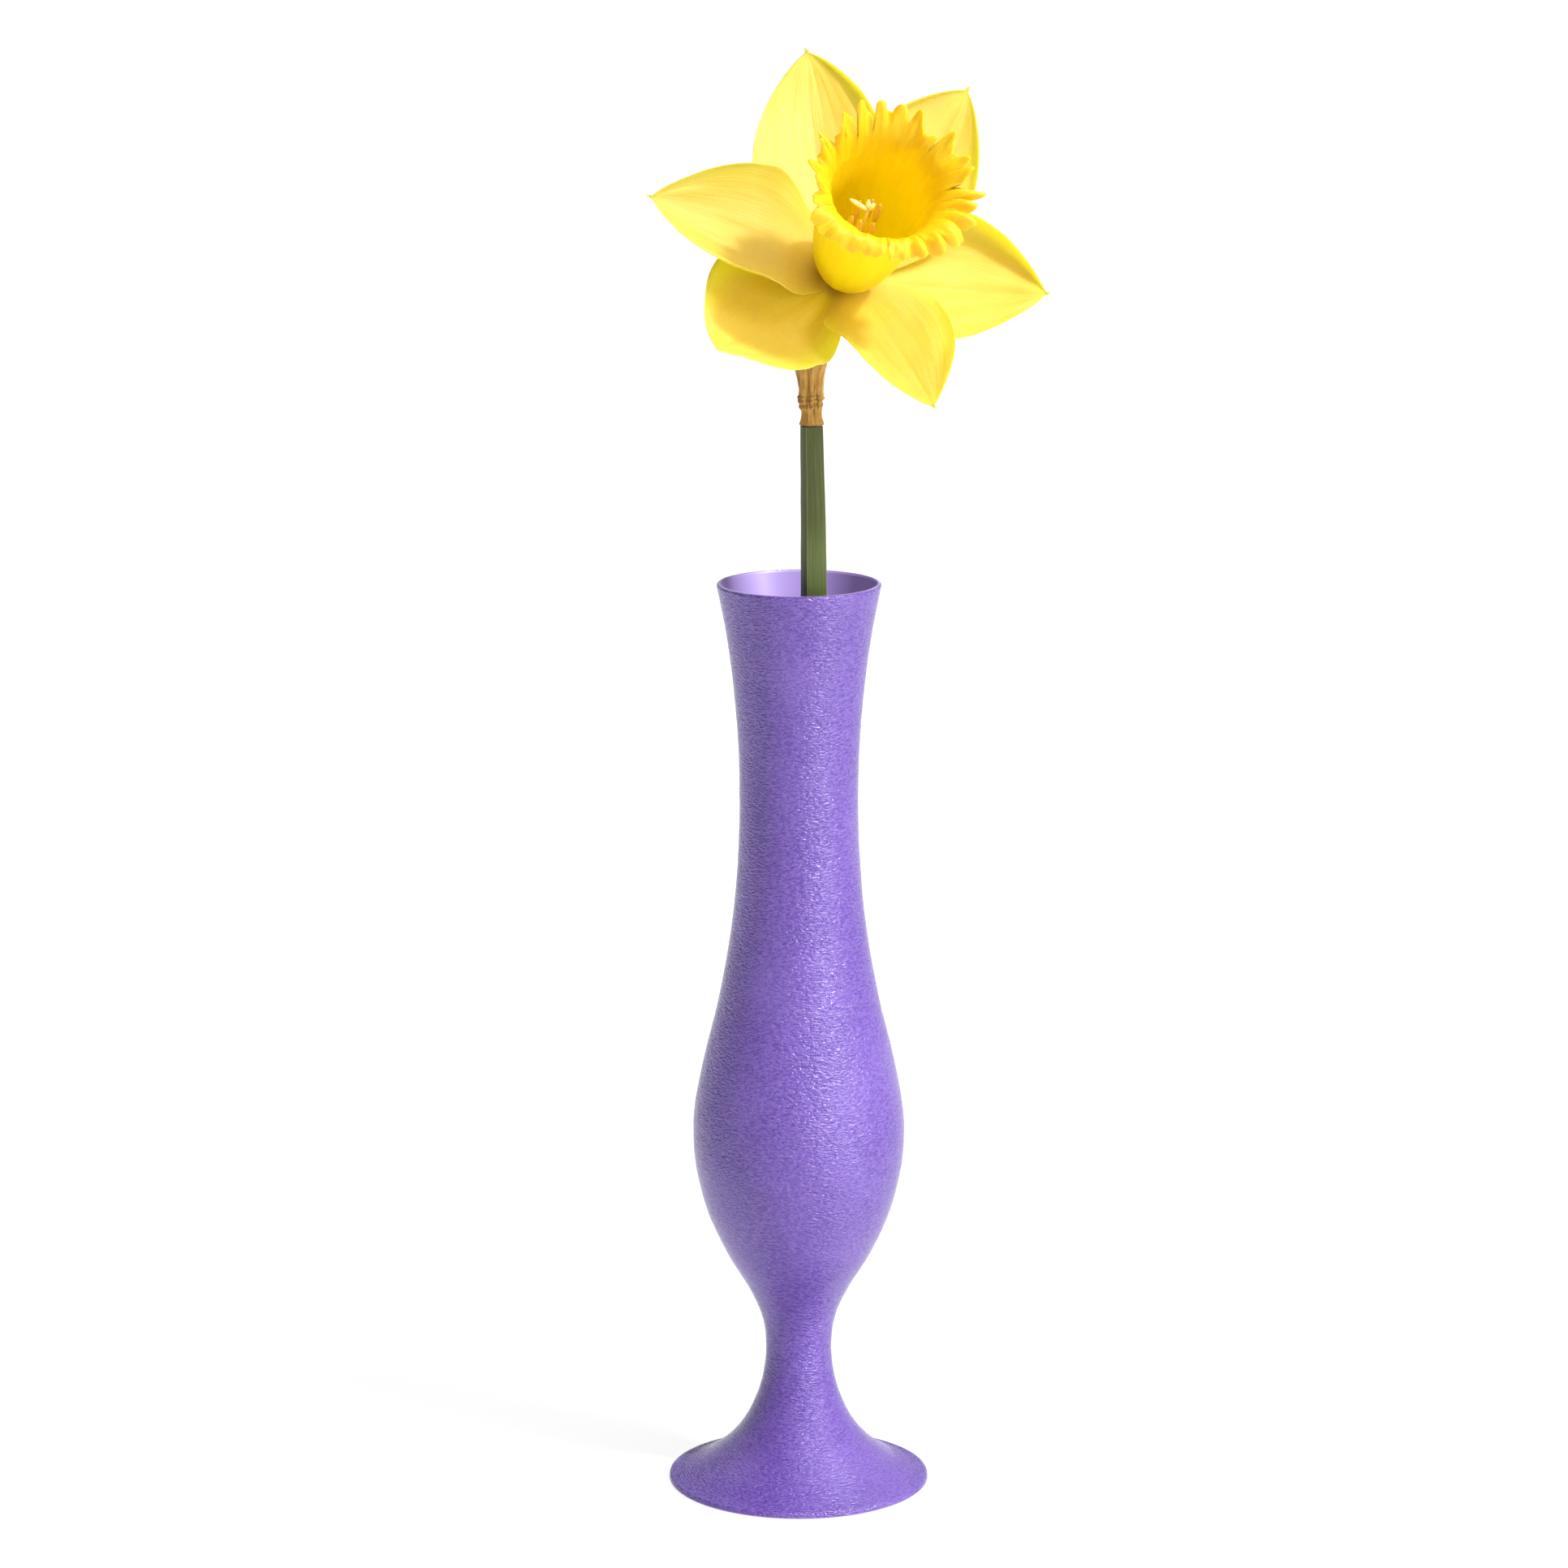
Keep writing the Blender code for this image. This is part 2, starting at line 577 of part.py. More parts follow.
def make_pistil(collection):
    """The style with its three-lobed stigma."""
    style = tube_mesh("pistil", route_samples(STYLE_ROUTE, STYLE_POINTS), THIN_BAR)
    parts = new_collection("pistil_parts")
    for i, (start, end) in enumerate(STIGMA_LOBES):
        lobe = capsule_mesh(f"lobe_{i}", Vector(start) * MM, Vector(end) * MM, STIGMA_WIDTH / 2)
        add_object(f"lobe_{i}", lobe, parts, None)
    piece = join_all("pistil", style, parts, collection, "pistil")
    piece.data.transform(flower_matrix())
    return piece


def main():
    clear_scene()
    collection = new_collection("daffodil_in_bud_vase")
    cutters = new_collection("cutters")
    make_vase(collection)
    make_stem(collection)
    make_water(collection, cutters)
    make_spathe(collection)
    make_ovary(collection)
    make_floral_tube(collection)
    for petal in PETALS:
        make_petal(collection, petal)
    make_corona(collection)
    make_stamens(collection)
    make_pistil(collection)


main()
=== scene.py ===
"""Trumpet daffodil in a footed bud vase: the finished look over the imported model.

Run as a script in Blender 4.5, it makes every visible piece, the studio and the camera.
"""
from collections import namedtuple
from math import atan2, cos, exp, pi, radians, sin, sqrt

import bpy
from bpy.props import FloatProperty, FloatVectorProperty, PointerProperty
from mathutils import Matrix, Vector, noise


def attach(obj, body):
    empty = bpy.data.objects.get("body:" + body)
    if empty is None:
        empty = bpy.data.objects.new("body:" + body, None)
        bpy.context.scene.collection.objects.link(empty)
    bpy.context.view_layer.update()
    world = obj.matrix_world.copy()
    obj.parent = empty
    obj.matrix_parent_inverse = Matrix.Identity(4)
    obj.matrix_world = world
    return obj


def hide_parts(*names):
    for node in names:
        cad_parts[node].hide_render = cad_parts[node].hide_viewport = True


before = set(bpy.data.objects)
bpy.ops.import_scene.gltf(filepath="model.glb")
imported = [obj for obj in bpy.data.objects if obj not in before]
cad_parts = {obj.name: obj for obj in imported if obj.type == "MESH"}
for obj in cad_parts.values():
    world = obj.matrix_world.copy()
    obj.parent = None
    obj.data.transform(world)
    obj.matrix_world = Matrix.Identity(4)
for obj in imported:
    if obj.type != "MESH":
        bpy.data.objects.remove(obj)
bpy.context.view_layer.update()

bl_info = {
    "name": "Daffodil in a bud vase",
    "version": (1, 0, 0),
    "blender": (4, 5, 0),
    "location": "3D View > Sidebar > Daffodil",
    "description": "Makes a trumpet daffodil, its footed bud vase and a plain studio round them",
    "category": "Object",
}

MM = 0.001
WELD = 0.005 * MM
UP = Vector((0, 0, 1))

# Vase: height and radius in millimetres along the outside, from the lip to the foot's edge
VASE_OUTSIDE = [
    (215.4, 19.0), (212.0, 18.3), (204.0, 16.8), (192.0, 15.2), (178.0, 14.1),
    (163.0, 13.8), (148.0, 14.4), (133.0, 16.0), (118.0, 18.7), (104.0, 22.1),
    (92.0, 24.4), (84.0, 24.8), (76.0, 24.0), (66.0, 21.4), (56.0, 16.9),
    (48.0, 12.1), (41.0, 8.9), (34.5, 7.8), (28.0, 8.1), (21.5, 9.6),
    (15.0, 12.5), (10.0, 16.3), (6.0, 21.1), (3.0, 26.4), (1.6, 30.0),
]
# Rounded bottom of the cavity, from its middle outward
CAVITY_BOTTOM = [(46.5, 0.0), (46.8, 3.5), (48.2, 7.0), (51.2, 10.6), (56.0, 14.3)]
# Radius and height round the foot's edge and in under it
FOOT_EDGE = [(30.5, 1.4), (30.7, 1.1), (30.7, 0.5), (30.4, 0.15), (29.9, 0.0), (15.0, 0.0)]
VASE_SIDES = 180
CAVITY_STEPS = 75
LIP_STEPS = 8
# Height above the cavity's rounded bottom where its straight wall starts, and height below
# the lip over which the wall thins, in millimetres
WALL_FROM = 5
LIP_TAPER = 22
# Steps from ring to ring down the outside, as shares of its curve: on the body, then on the foot
BODY_STEP = 0.0033
FOOT_STEP = 0.0011
FOOT_FROM = 0.93
# The wrinkled skin, in millimetres: its lowest point, the height where it ends over the lip,
# the fade there, and how deep under the outside it counts
SKIN_BOTTOM = 0.25
SKIN_TOP = 216.1
SKIN_FADE = 0.3
SKIN_DEEP = 0.9
# Lumps of the skin: width, height and depth in millimetres
SMALL_LUMPS = (3.2, 1.5, 0.05)
WIDE_LUMPS = (14, 9, 0.06)
# Rings near the foot's edge: depth, inner radius and fade, and the height below which they lie
RING_DEPTH = 0.045
RINGS_FROM = 21
RINGS_FADE = 4
RINGS_BELOW = 20
# Where the wrinkles turn outward over the foot, in metres
WAIST_RADIUS = 0.008
FOOT_HEIGHT = 0.028

# Green scape: centre line and radius in millimetres, from its cut end up to the spathe
STEM_ROUTE = [
    ((-1.0, 4.4, 48.9), 3.1), ((0.6, -1.2, 100.0), 3.1), ((2.7, -7.6, 163.0), 3.1),
    ((3.3, -8.5, 216.0), 3.05), ((2.8, -8.0, 253.5), 2.65),
]
# Its long ridges, as angles round the centre line
STEM_RIDGES = [-118, -12, 62, 168]
STEM_ROWS = 200
STEM_SIDES = 60
# How flat the scape is between its ridges, from 0 for round to 1 for straight
STEM_FLATNESS = 0.68
# Share of the way up a closed rod that each of its flat ends takes
ROD_END = 0.01

# Papery spathe: rings and radii from its collar on the scape up behind the flower
SPATHE_ROUTE = [
    ((2.8, -8.0, 253.75), 2.48), ((2.8, -8.0, 254.3), 2.45), ((2.75, -7.85, 255.2), 2.2),
    ((2.7, -7.6, 256.5), 2.0), ((2.65, -7.3, 258.0), 2.2), ((2.6, -7.0, 259.5), 2.35),
    ((2.6, -6.75, 261.0), 2.3), ((2.6, -6.5, 263.0), 2.5), ((2.55, -6.0, 266.5), 2.95),
    ((2.4, -5.4, 269.0), 3.6), ((2.3, -4.8, 271.5), 4.4), ((1.9, -4.0, 276.0), 5.0),
    ((1.4, -3.2, 281.0), 4.9), ((0.8, -2.2, 287.0), 4.2),
]
SPATHE_ROWS = 150
SPATHE_COLUMNS = 112
SPATHE_THICKNESS = 0.4 * MM
# Share of the route that the spathe reaches on its split front; it is all of it at the back
SPATHE_FRONT = 0.83
# Rings at its knot: height, half their width and how far they stand out, in millimetres
SPATHE_RINGS = [
    (257.9, 0.28, 0.34), (258.7, 0.2, -0.22), (259.3, 0.24, 0.42), (260.2, 0.2, 0.26),
    (260.7, 0.18, -0.2),
]

# Pedicel and ovary: centre line and radius in millimetres
OVARY_ROUTE = [
    ((2.8, -8.0, 253.8), 1.3), ((2.7, -7.6, 256.5), 1.3), ((2.6, -7.0, 259.5), 1.3),
    ((2.5, -6.5, 262.5), 1.3), ((2.5, -6.2, 265.2), 1.35), ((2.9, -6.7, 267.6), 1.5),
    ((3.8, -9.0, 269.9), 2.0), ((4.75, -12.8, 272.7), 3.0), ((5.65, -16.73, 275.65), 2.5),
]
OVARY_ROWS = 110
OVARY_SIDES = 48

# Flower: where the petals meet, and where its axis points
FLOWER_CENTRE = Vector((10.1, -36.0, 291.1)) * MM
FLOWER_RISE = radians(38)
FLOWER_TURN = radians(13)
FLOWER_OUT = Vector((cos(FLOWER_RISE) * sin(FLOWER_TURN), -cos(FLOWER_RISE) * cos(FLOWER_TURN),
                     sin(FLOWER_RISE)))
FLOWER_UP = (UP - FLOWER_OUT * FLOWER_OUT.z).normalized()
FLOWER_RIGHT = FLOWER_UP.cross(FLOWER_OUT)
# Takes right, up and out from the flower's centre to the world
FLOWER = (Matrix.Translation(FLOWER_CENTRE)
          @ Matrix((FLOWER_RIGHT, FLOWER_UP, FLOWER_OUT)).transposed().to_4x4())

# Floral tube: distance along the flower's axis and radius, from the front boss back
TUBE_PROFILE = [
    (1.3, 0.0), (1.3, 3.3), (-1.6, 3.4), (-1.6, 6.6), (-2.3, 6.8), (-4.5, 5.2),
    (-9.0, 3.7), (-16.0, 2.8), (-24.8, 2.5), (-24.8, 0.0),
]
TUBE_SIDES = 72
TUBE_STEPS = 8
# Depth of the grooves between its six ribs as a share of the radius, and where they start
TUBE_GROOVE = 0.06
TUBE_RIBS_BEHIND = -2.4 * MM

# Petals: angles in degrees, lengths in millimetres, cw and ccw as seen from in front
Petal = namedtuple("Petal", (
    "name turn rise_base rise_tip length half_cw half_ccw cup_cw cup_ccw "
    "twist_base twist_more sway widest shoulder_cw shoulder_ccw layer midrib rolls"))
# A roll bends a margin forward: side, start and end along the petal, share of the width, degrees
Roll = namedtuple("Roll", "side start end strip bend")
OUTER_LAYER = -0.9
INNER_LAYER = 0.4
PETALS = [
    Petal("outer_tepal_1", 98, 6, 20, 49.3, 15.2, 15.7, 0.47, 0.29,
          -2, -6, -4.1, 0.41, 1.30, 1.12, OUTER_LAYER, 0.4,
          [Roll(-1, 0.42, 1.0, 0.28, 64), Roll(1, 0.75, 1.0, 0.15, 25)]),
    Petal("inner_tepal_1", 50, 13.5, 22, 47.1, 15.3, 14.2, 0.40, 0.61,
          2, 3, 1.0, 0.41, 1.00, 1.14, INNER_LAYER, 0.5,
          [Roll(-1, 0.35, 1.0, 0.26, 52), Roll(1, 0.40, 1.0, 0.42, 62)]),
    Petal("outer_tepal_2", -14, 2, 21, 40.9, 15.3, 16.2, 0.41, 0.52,
          2, -7, 0.2, 0.42, 1.18, 1.12, OUTER_LAYER, 1.0,
          [Roll(-1, 0.6, 1.0, 0.14, 20), Roll(1, 0.22, 0.98, 0.52, 62)]),
    Petal("inner_tepal_2", -69.5, 16, 26, 42.6, 13.6, 13.8, 0.83, 0.31,
          -4, 12, -5.5, 0.27, 1.05, 1.44, INNER_LAYER, 0.3,
          [Roll(-1, 0.5, 1.0, 0.12, 20), Roll(1, 0.25, 0.9, 0.14, 22)]),
    Petal("outer_tepal_3", -146, 4, 41.5, 45.0, 18.7, 15.3, 0.49, 0.06,
          -8, 29, 3.2, 0.44, 0.84, 1.22, OUTER_LAYER, 0.2,
          [Roll(-1, 0.30, 1.0, 0.16, 42), Roll(1, 0.55, 1.0, 0.12, 30)]),
    Petal("inner_tepal_3", 166, 26.5, 11, 44.6, 16.6, 14.2, 0.64, 0.96,
          0, -11, -1.1, 0.42, 0.84, 1.36, INNER_LAYER, 0.3,
          [Roll(-1, 0.45, 1.0, 0.12, 26), Roll(1, 0.30, 1.0, 0.12, 34)]),
]
# Distance from the flower's axis at which a petal starts
PETAL_START = 4.0 * MM
# Width of a petal's base as a share of its widest, and how blunt its tip is
CLAW_WIDTH = 0.36
PETAL_BLUNTNESS = 0.8
# Share of the length over which cup and twist set in
PETAL_FADE = 0.45
PETAL_ROWS = 104
PETAL_HALF_COLUMNS = 30
# The small point at a petal's tip: where it starts, its length and half its width
MUCRO_FROM = 0.965
MUCRO_LENGTH = 1.1 * MM
MUCRO_HALF = 0.36 * MM
# Half width below which the waves of a petal shrink with it
WAVES_FROM = 6 * MM

# Corona: distance along the axis and radius of the trumpet, below its frill
TRUMPET_PROFILE = [
    (1.9, 3.9), (2.9, 6.0), (4.8, 7.2), (9.0, 8.7), (17.0, 10.3), (26.0, 11.0), (34.0, 11.6),
]
TRUMPET_ROWS = 34
FRILL_ROWS = 44
LOBE_COLUMNS = 16
# Share of the wall's thickness that the frill keeps
FRILL_SHARE = 0.75
# How far the trumpet bows to the right and down, and how far along the axis it has done so
MOUTH_BOW = Vector((1.7, -1.8)) * MM
MOUTH_AT = 40 * MM
# Frill lobes: angle, reach from the axis, distance along it, depth of the slit that
# follows as a share of the flare, its sharpness, then swell towards the front, lean to one
# side and curl of the tip, in millimetres
Lobe = namedtuple("Lobe", "angle reach out slit sharp swell lean curl")
LOBES = [
    Lobe(2, 17.6, 40.5, 0.22, 4.6, 0.5, 1.6, 1.8), Lobe(17, 18.4, 41.0, 0.20, 4.6, 0.8, -1.2, 1.0),
    Lobe(33, 18.2, 41.8, 0.40, 4.0, 0.9, 1.2, 2.2), Lobe(46, 14.6, 41.4, 0.20, 3.0, 0.3, -0.5, 0.4),
    Lobe(60, 17.6, 43.0, 0.24, 6.0, 0.3, 1.3, 1.8), Lobe(74, 18.2, 43.0, 0.14, 6.0, 0.4, 0.7, 0.5),
    Lobe(88, 18.3, 43.5, 0.46, 7.0, 0.35, 1.2, 0.5), Lobe(104, 18.2, 44.0, 0.52, 6.0, 0.3, 1.7, 0.7),
    Lobe(119, 18.3, 44.0, 0.34, 6.0, 0.3, 1.3, 0.8), Lobe(131, 15.6, 43.0, 0.34, 5.0, 0.6, -0.9, 1.3),
    Lobe(142, 18.8, 43.5, 0.26, 5.0, 0.6, 1.4, -0.8), Lobe(153, 17.2, 43.2, 0.28, 5.0, 0.8, -1.6, 1.6),
    Lobe(167, 18.4, 43.0, 0.30, 5.0, 0.8, 1.8, 0.8), Lobe(181, 17.6, 42.0, 0.24, 3.4, 0.7, -1.2, 1.4),
    Lobe(193, 18.4, 41.5, 0.10, 4.0, 0.5, 0.6, 0.6), Lobe(205, 20.4, 40.3, 0.03, 4.0, 0.2, -0.3, -0.6),
    Lobe(218, 20.4, 39.8, 0.04, 4.6, 0.1, 0.2, -0.9), Lobe(234, 19.4, 39.4, 0.10, 8.0, 0.2, -0.4, -0.8),
    Lobe(252, 18.6, 39.0, 0.36, 5.0, 0.3, 0.5, -0.8), Lobe(269, 18.1, 38.5, 0.10, 8.0, 0.3, -0.3, -0.9),
    Lobe(284, 18.4, 38.2, 0.52, 4.4, 0.4, 0.9, -0.8), Lobe(298, 19.4, 38.0, 0.46, 4.4, 0.4, 0.9, -0.8),
    Lobe(314, 20.1, 38.0, 0.16, 4.6, 0.4, 0.4, -0.5), Lobe(329, 19.9, 38.5, 0.34, 4.5, 1.2, -0.5, 0.5),
    Lobe(340, 19.4, 39.0, 0.34, 4.5, 1.3, 0.3, 0.5), Lobe(350, 20.2, 39.3, 0.36, 4.5, 1.3, -0.5, 0.3),
]
# The flare's inner control point, and the distance along the axis of its outer one
FLARE_LEAVES_AT = (38.5, 12.2)
FLARE_TURNS_AT = 42.3
# Share of the flare past which the tips of the lobes curl
CURL_FROM = 0.6

# Stamens: tips of the six anthers, right, up and out along the flower's axis
ANTHER_TIPS = [
    (2.5, 0.5, 28.4), (1.4, 2.6, 27.0), (-1.4, 2.6, 26.6),
    (-3.4, -0.4, 25.4), (-1.8, -1.9, 25.8), (1.1, -2.4, 25.4),
]
ANTHER_LENGTH = 7.5
ANTHER_WIDTH = 1.45
FILAMENT_WIDTH = 0.9
# How far a filament reaches into its anther
FILAMENT_OVERLAP = 1.4
# Foot of the filaments: distance from the axis and along it
FILAMENT_FOOT = (2.1, 2.0)
# Section of the ring that they stand on: radius and distance along the axis
STAMEN_RING = [(1.3, 1.6), (1.3, 2.4), (2.8, 2.4), (2.8, 1.6)]
# Grooves down an anther, on two sides: depth as a share of the radius; then how wide they are
ANTHER_GROOVES = (0.22, 0.18)
GROOVE_WIDTH = 0.22
# Style: where it starts and ends, and its width and its stigma's, in millimetres
STYLE_ENDS = ((0, 0, 1.6), (0, 0.1, 27.2))
STYLE_WIDTH = 1.25
STIGMA_WIDTH = 1.15
# Start and end of each of the stigma's lobes
STIGMA_LOBES = [
    ((0.2, 0.0, 26.3), (-4.4, 1.6, 29.0)), ((-0.2, 0.0, 26.4), (1.2, 0.6, 28.4)),
    ((0.0, -0.2, 26.4), (-0.1, 1.7, 28.4)),
]

# Camera that took the photograph
CAMERA_AT = (-0.00346, -1.2457, 0.4307)
CAMERA_PITCH = radians(78.12)
SENSOR_WIDTH = 36

# Glow of the floor, which keeps it as pale as the photograph's
FLOOR_GLOW = 0.84
# Point above the floor that the soft lights face
LIGHTS_FACE = UP * 0.15
# Soft panels: place, width and height in metres
TOP_PANEL = ((0.35, -0.5, 2.1), 1.4, 1.4)
STRIP_PANEL = ((1.25, -0.85, 0.9), 0.2, 2.4)
BACK_PANEL = ((0.1, 1.7, 1.0), 1.8, 0.9)


class VaseSettings(bpy.types.PropertyGroup):
    wall: FloatProperty(
        name="Wall", description="Thickness of the vase's wall", default=0.002,
        min=0.001, max=0.004, unit="LENGTH")
    lip: FloatProperty(
        name="Lip", description="Thickness of the rounded lip", default=0.0012,
        min=0.0008, max=0.003, unit="LENGTH")
    wrinkle_depth: FloatProperty(
        name="Wrinkle depth", description="Depth of the fine wrinkles in the skin",
        default=0.0006, min=0.0, max=0.002, unit="LENGTH")
    wrinkle_length: FloatProperty(
        name="Wrinkle length", description="Length of one wrinkle round the vase",
        default=0.00105, min=0.0005, max=0.006, unit="LENGTH")
    wrinkle_height: FloatProperty(
        name="Wrinkle height", description="Height of one wrinkle", default=0.00042,
        min=0.0002, max=0.003, unit="LENGTH")
    layer: FloatProperty(
        name="Layer", description="Distance between the rings near the foot's edge",
        default=0.00065, min=0.0003, max=0.002, unit="LENGTH")
    skin: FloatVectorProperty(
        name="Skin", description="Purple of the wrinkled skin", default=(0.186, 0.096, 0.455),
        min=0, max=1, subtype="COLOR")
    # Painted shade: a deeper purple for the valleys between the wrinkles, where shade falls
    painted_valley_shade: FloatVectorProperty(
        name="Valleys", description="Deeper purple between the wrinkles",
        default=(0.098, 0.042, 0.335), min=0, max=1, subtype="COLOR")
    inside: FloatVectorProperty(
        name="Inside", description="Lilac of the smooth inside",
        default=(0.45, 0.335, 0.75), min=0, max=1, subtype="COLOR")


class StemSettings(bpy.types.PropertyGroup):
    green: FloatVectorProperty(
        name="Green", description="Olive green of the scape's upper part",
        default=(0.066, 0.082, 0.006), min=0, max=1, subtype="COLOR")
    fresh: FloatVectorProperty(
        name="Fresh green", description="Lighter green of the scape's lower part",
        default=(0.078, 0.110, 0.016), min=0, max=1, subtype="COLOR")
    paper: FloatVectorProperty(
        name="Paper", description="Tan of the papery spathe", default=(0.52, 0.29, 0.055),
        min=0, max=1, subtype="COLOR")
    paper_dark: FloatVectorProperty(
        name="Dark paper", description="Brown of the spathe's folds and rims",
        default=(0.16, 0.075, 0.02), min=0, max=1, subtype="COLOR")
    ovary: FloatVectorProperty(
        name="Ovary", description="Green of the ovary", default=(0.15, 0.23, 0.03),
        min=0, max=1, subtype="COLOR")


class FlowerSettings(bpy.types.PropertyGroup):
    petal_thickness: FloatProperty(
        name="Petal thickness", description="Thickness in the middle of a petal",
        default=0.0007, min=0.0002, max=0.0015, unit="LENGTH")
    corona_thickness: FloatProperty(
        name="Trumpet thickness", description="Thickness of the trumpet's wall",
        default=0.00056, min=0.0002, max=0.0015, unit="LENGTH")
    margin: FloatProperty(
        name="Margin", description="Share of the thickness left at a petal's margin",
        default=0.35, min=0.1, max=1.0, subtype="FACTOR")
    midrib: FloatProperty(
        name="Midrib", description="Depth of the groove down the middle of a petal",
        default=0.0005, min=0.0, max=0.002, unit="LENGTH")
    petal: FloatVectorProperty(
        name="Petal", description="Lemon yellow of the petals", default=(0.70, 0.47, 0.06),
        min=0, max=1, subtype="COLOR")
    petal_base: FloatVectorProperty(
        name="Petal base", description="Deeper yellow near the middle of the flower",
        default=(0.71, 0.49, 0.016), min=0, max=1, subtype="COLOR")
    corona: FloatVectorProperty(
        name="Trumpet", description="Golden yellow of the trumpet",
        default=(0.86, 0.455, 0.003), min=0, max=1, subtype="COLOR")
    throat: FloatVectorProperty(
        name="Throat", description="Deeper gold down in the trumpet",
        default=(0.94, 0.69, 0.002), min=0, max=1, subtype="COLOR")
    anther: FloatVectorProperty(
        name="Anther", description="Amber of the anthers", default=(0.86, 0.58, 0.10),
        min=0, max=1, subtype="COLOR")
    style: FloatVectorProperty(
        name="Style", description="Pale yellow of the style and the filaments",
        default=(0.95, 0.82, 0.32), min=0, max=1, subtype="COLOR")


class StudioSettings(bpy.types.PropertyGroup):
    floor: FloatVectorProperty(
        name="Floor", description="Pale colour of the floor", default=(0.25, 0.25, 0.25),
        min=0, max=1, subtype="COLOR")
    floor_size: FloatProperty(
        name="Floor size", description="Width of the floor", default=60.0,
        min=1.0, unit="LENGTH")
    key: FloatProperty(
        name="Key light", description="Strength of the key light", default=2.2, min=0.0)
    top: FloatProperty(
        name="Top light", description="Power of the soft light above", default=22.0, min=0.0)
    strip: FloatProperty(
        name="Strip light", description="Power of the tall light at the right", default=26.0,
        min=0.0)
    back: FloatProperty(
        name="Back light", description="Power of the panel behind the vase", default=7.0, min=0.0)
    key_size: FloatProperty(
        name="Key size", description="How wide the key light looks from the flower",
        default=radians(4), min=0.0, max=pi, subtype="ANGLE", unit="ROTATION")
    key_turn: FloatProperty(
        name="Key turn", description="How far to the right of the camera the key light stands",
        default=radians(54), min=-pi, max=pi, subtype="ANGLE", unit="ROTATION")
    key_rise: FloatProperty(
        name="Key rise", description="Height of the key light above the horizon",
        default=radians(45), min=0.0, max=pi / 2, subtype="ANGLE", unit="ROTATION")
    fill: FloatProperty(
        name="Fill", description="Strength of the white surroundings", default=0.16, min=0.0)
    lens: FloatProperty(
        name="Lens", description="Focal length of the camera in millimetres", default=126.0,
        min=10.0, max=500.0)


SETTINGS = {
    "bud_vase": VaseSettings, "bud_vase_stem": StemSettings,
    "bud_vase_flower": FlowerSettings, "bud_vase_studio": StudioSettings,
}


class Number:
    """A shader socket that carries a number; Python's signs add Math nodes to it."""

    def __init__(self, shading, socket):
        self.shading = shading
        self.socket = socket

    def math(self, operation, *values):
        node = self.shading.node("ShaderNodeMath", {"operation": operation},
                                 dict(enumerate(values)))
        return Number(self.shading, node.outputs[0])

    def __add__(self, other):
        return self.math("ADD", self, other)

    def __sub__(self, other):
        return self.math("SUBTRACT", self, other)

    def __rsub__(self, other):
        return self.math("SUBTRACT", other, self)

    def __mul__(self, other):
        return self.math("MULTIPLY", self, other)

    def __truediv__(self, other):
        return self.math("DIVIDE", self, other)

    def __pow__(self, other):
        return self.math("POWER", self, other)

    def __lt__(self, other):
        return self.math("LESS_THAN", self, other)

    __radd__ = __add__
    __rmul__ = __mul__

    def at_least(self, other):
        return self.math("MAXIMUM", self, other)

    def size(self):
        return self.math("ABSOLUTE", self)

    def between(self, low, high):
        """0 below low, 1 above high and a smooth step between them."""
        node = self.shading.node("ShaderNodeMapRange", {"interpolation_type": "SMOOTHSTEP"}, {
            "Value": self, "From Min": low, "From Max": high})
        return Number(self.shading, node.outputs["Result"])


SCATTER_SOCKETS = ("Subsurface Weight", "Subsurface Radius", "Subsurface Scale")


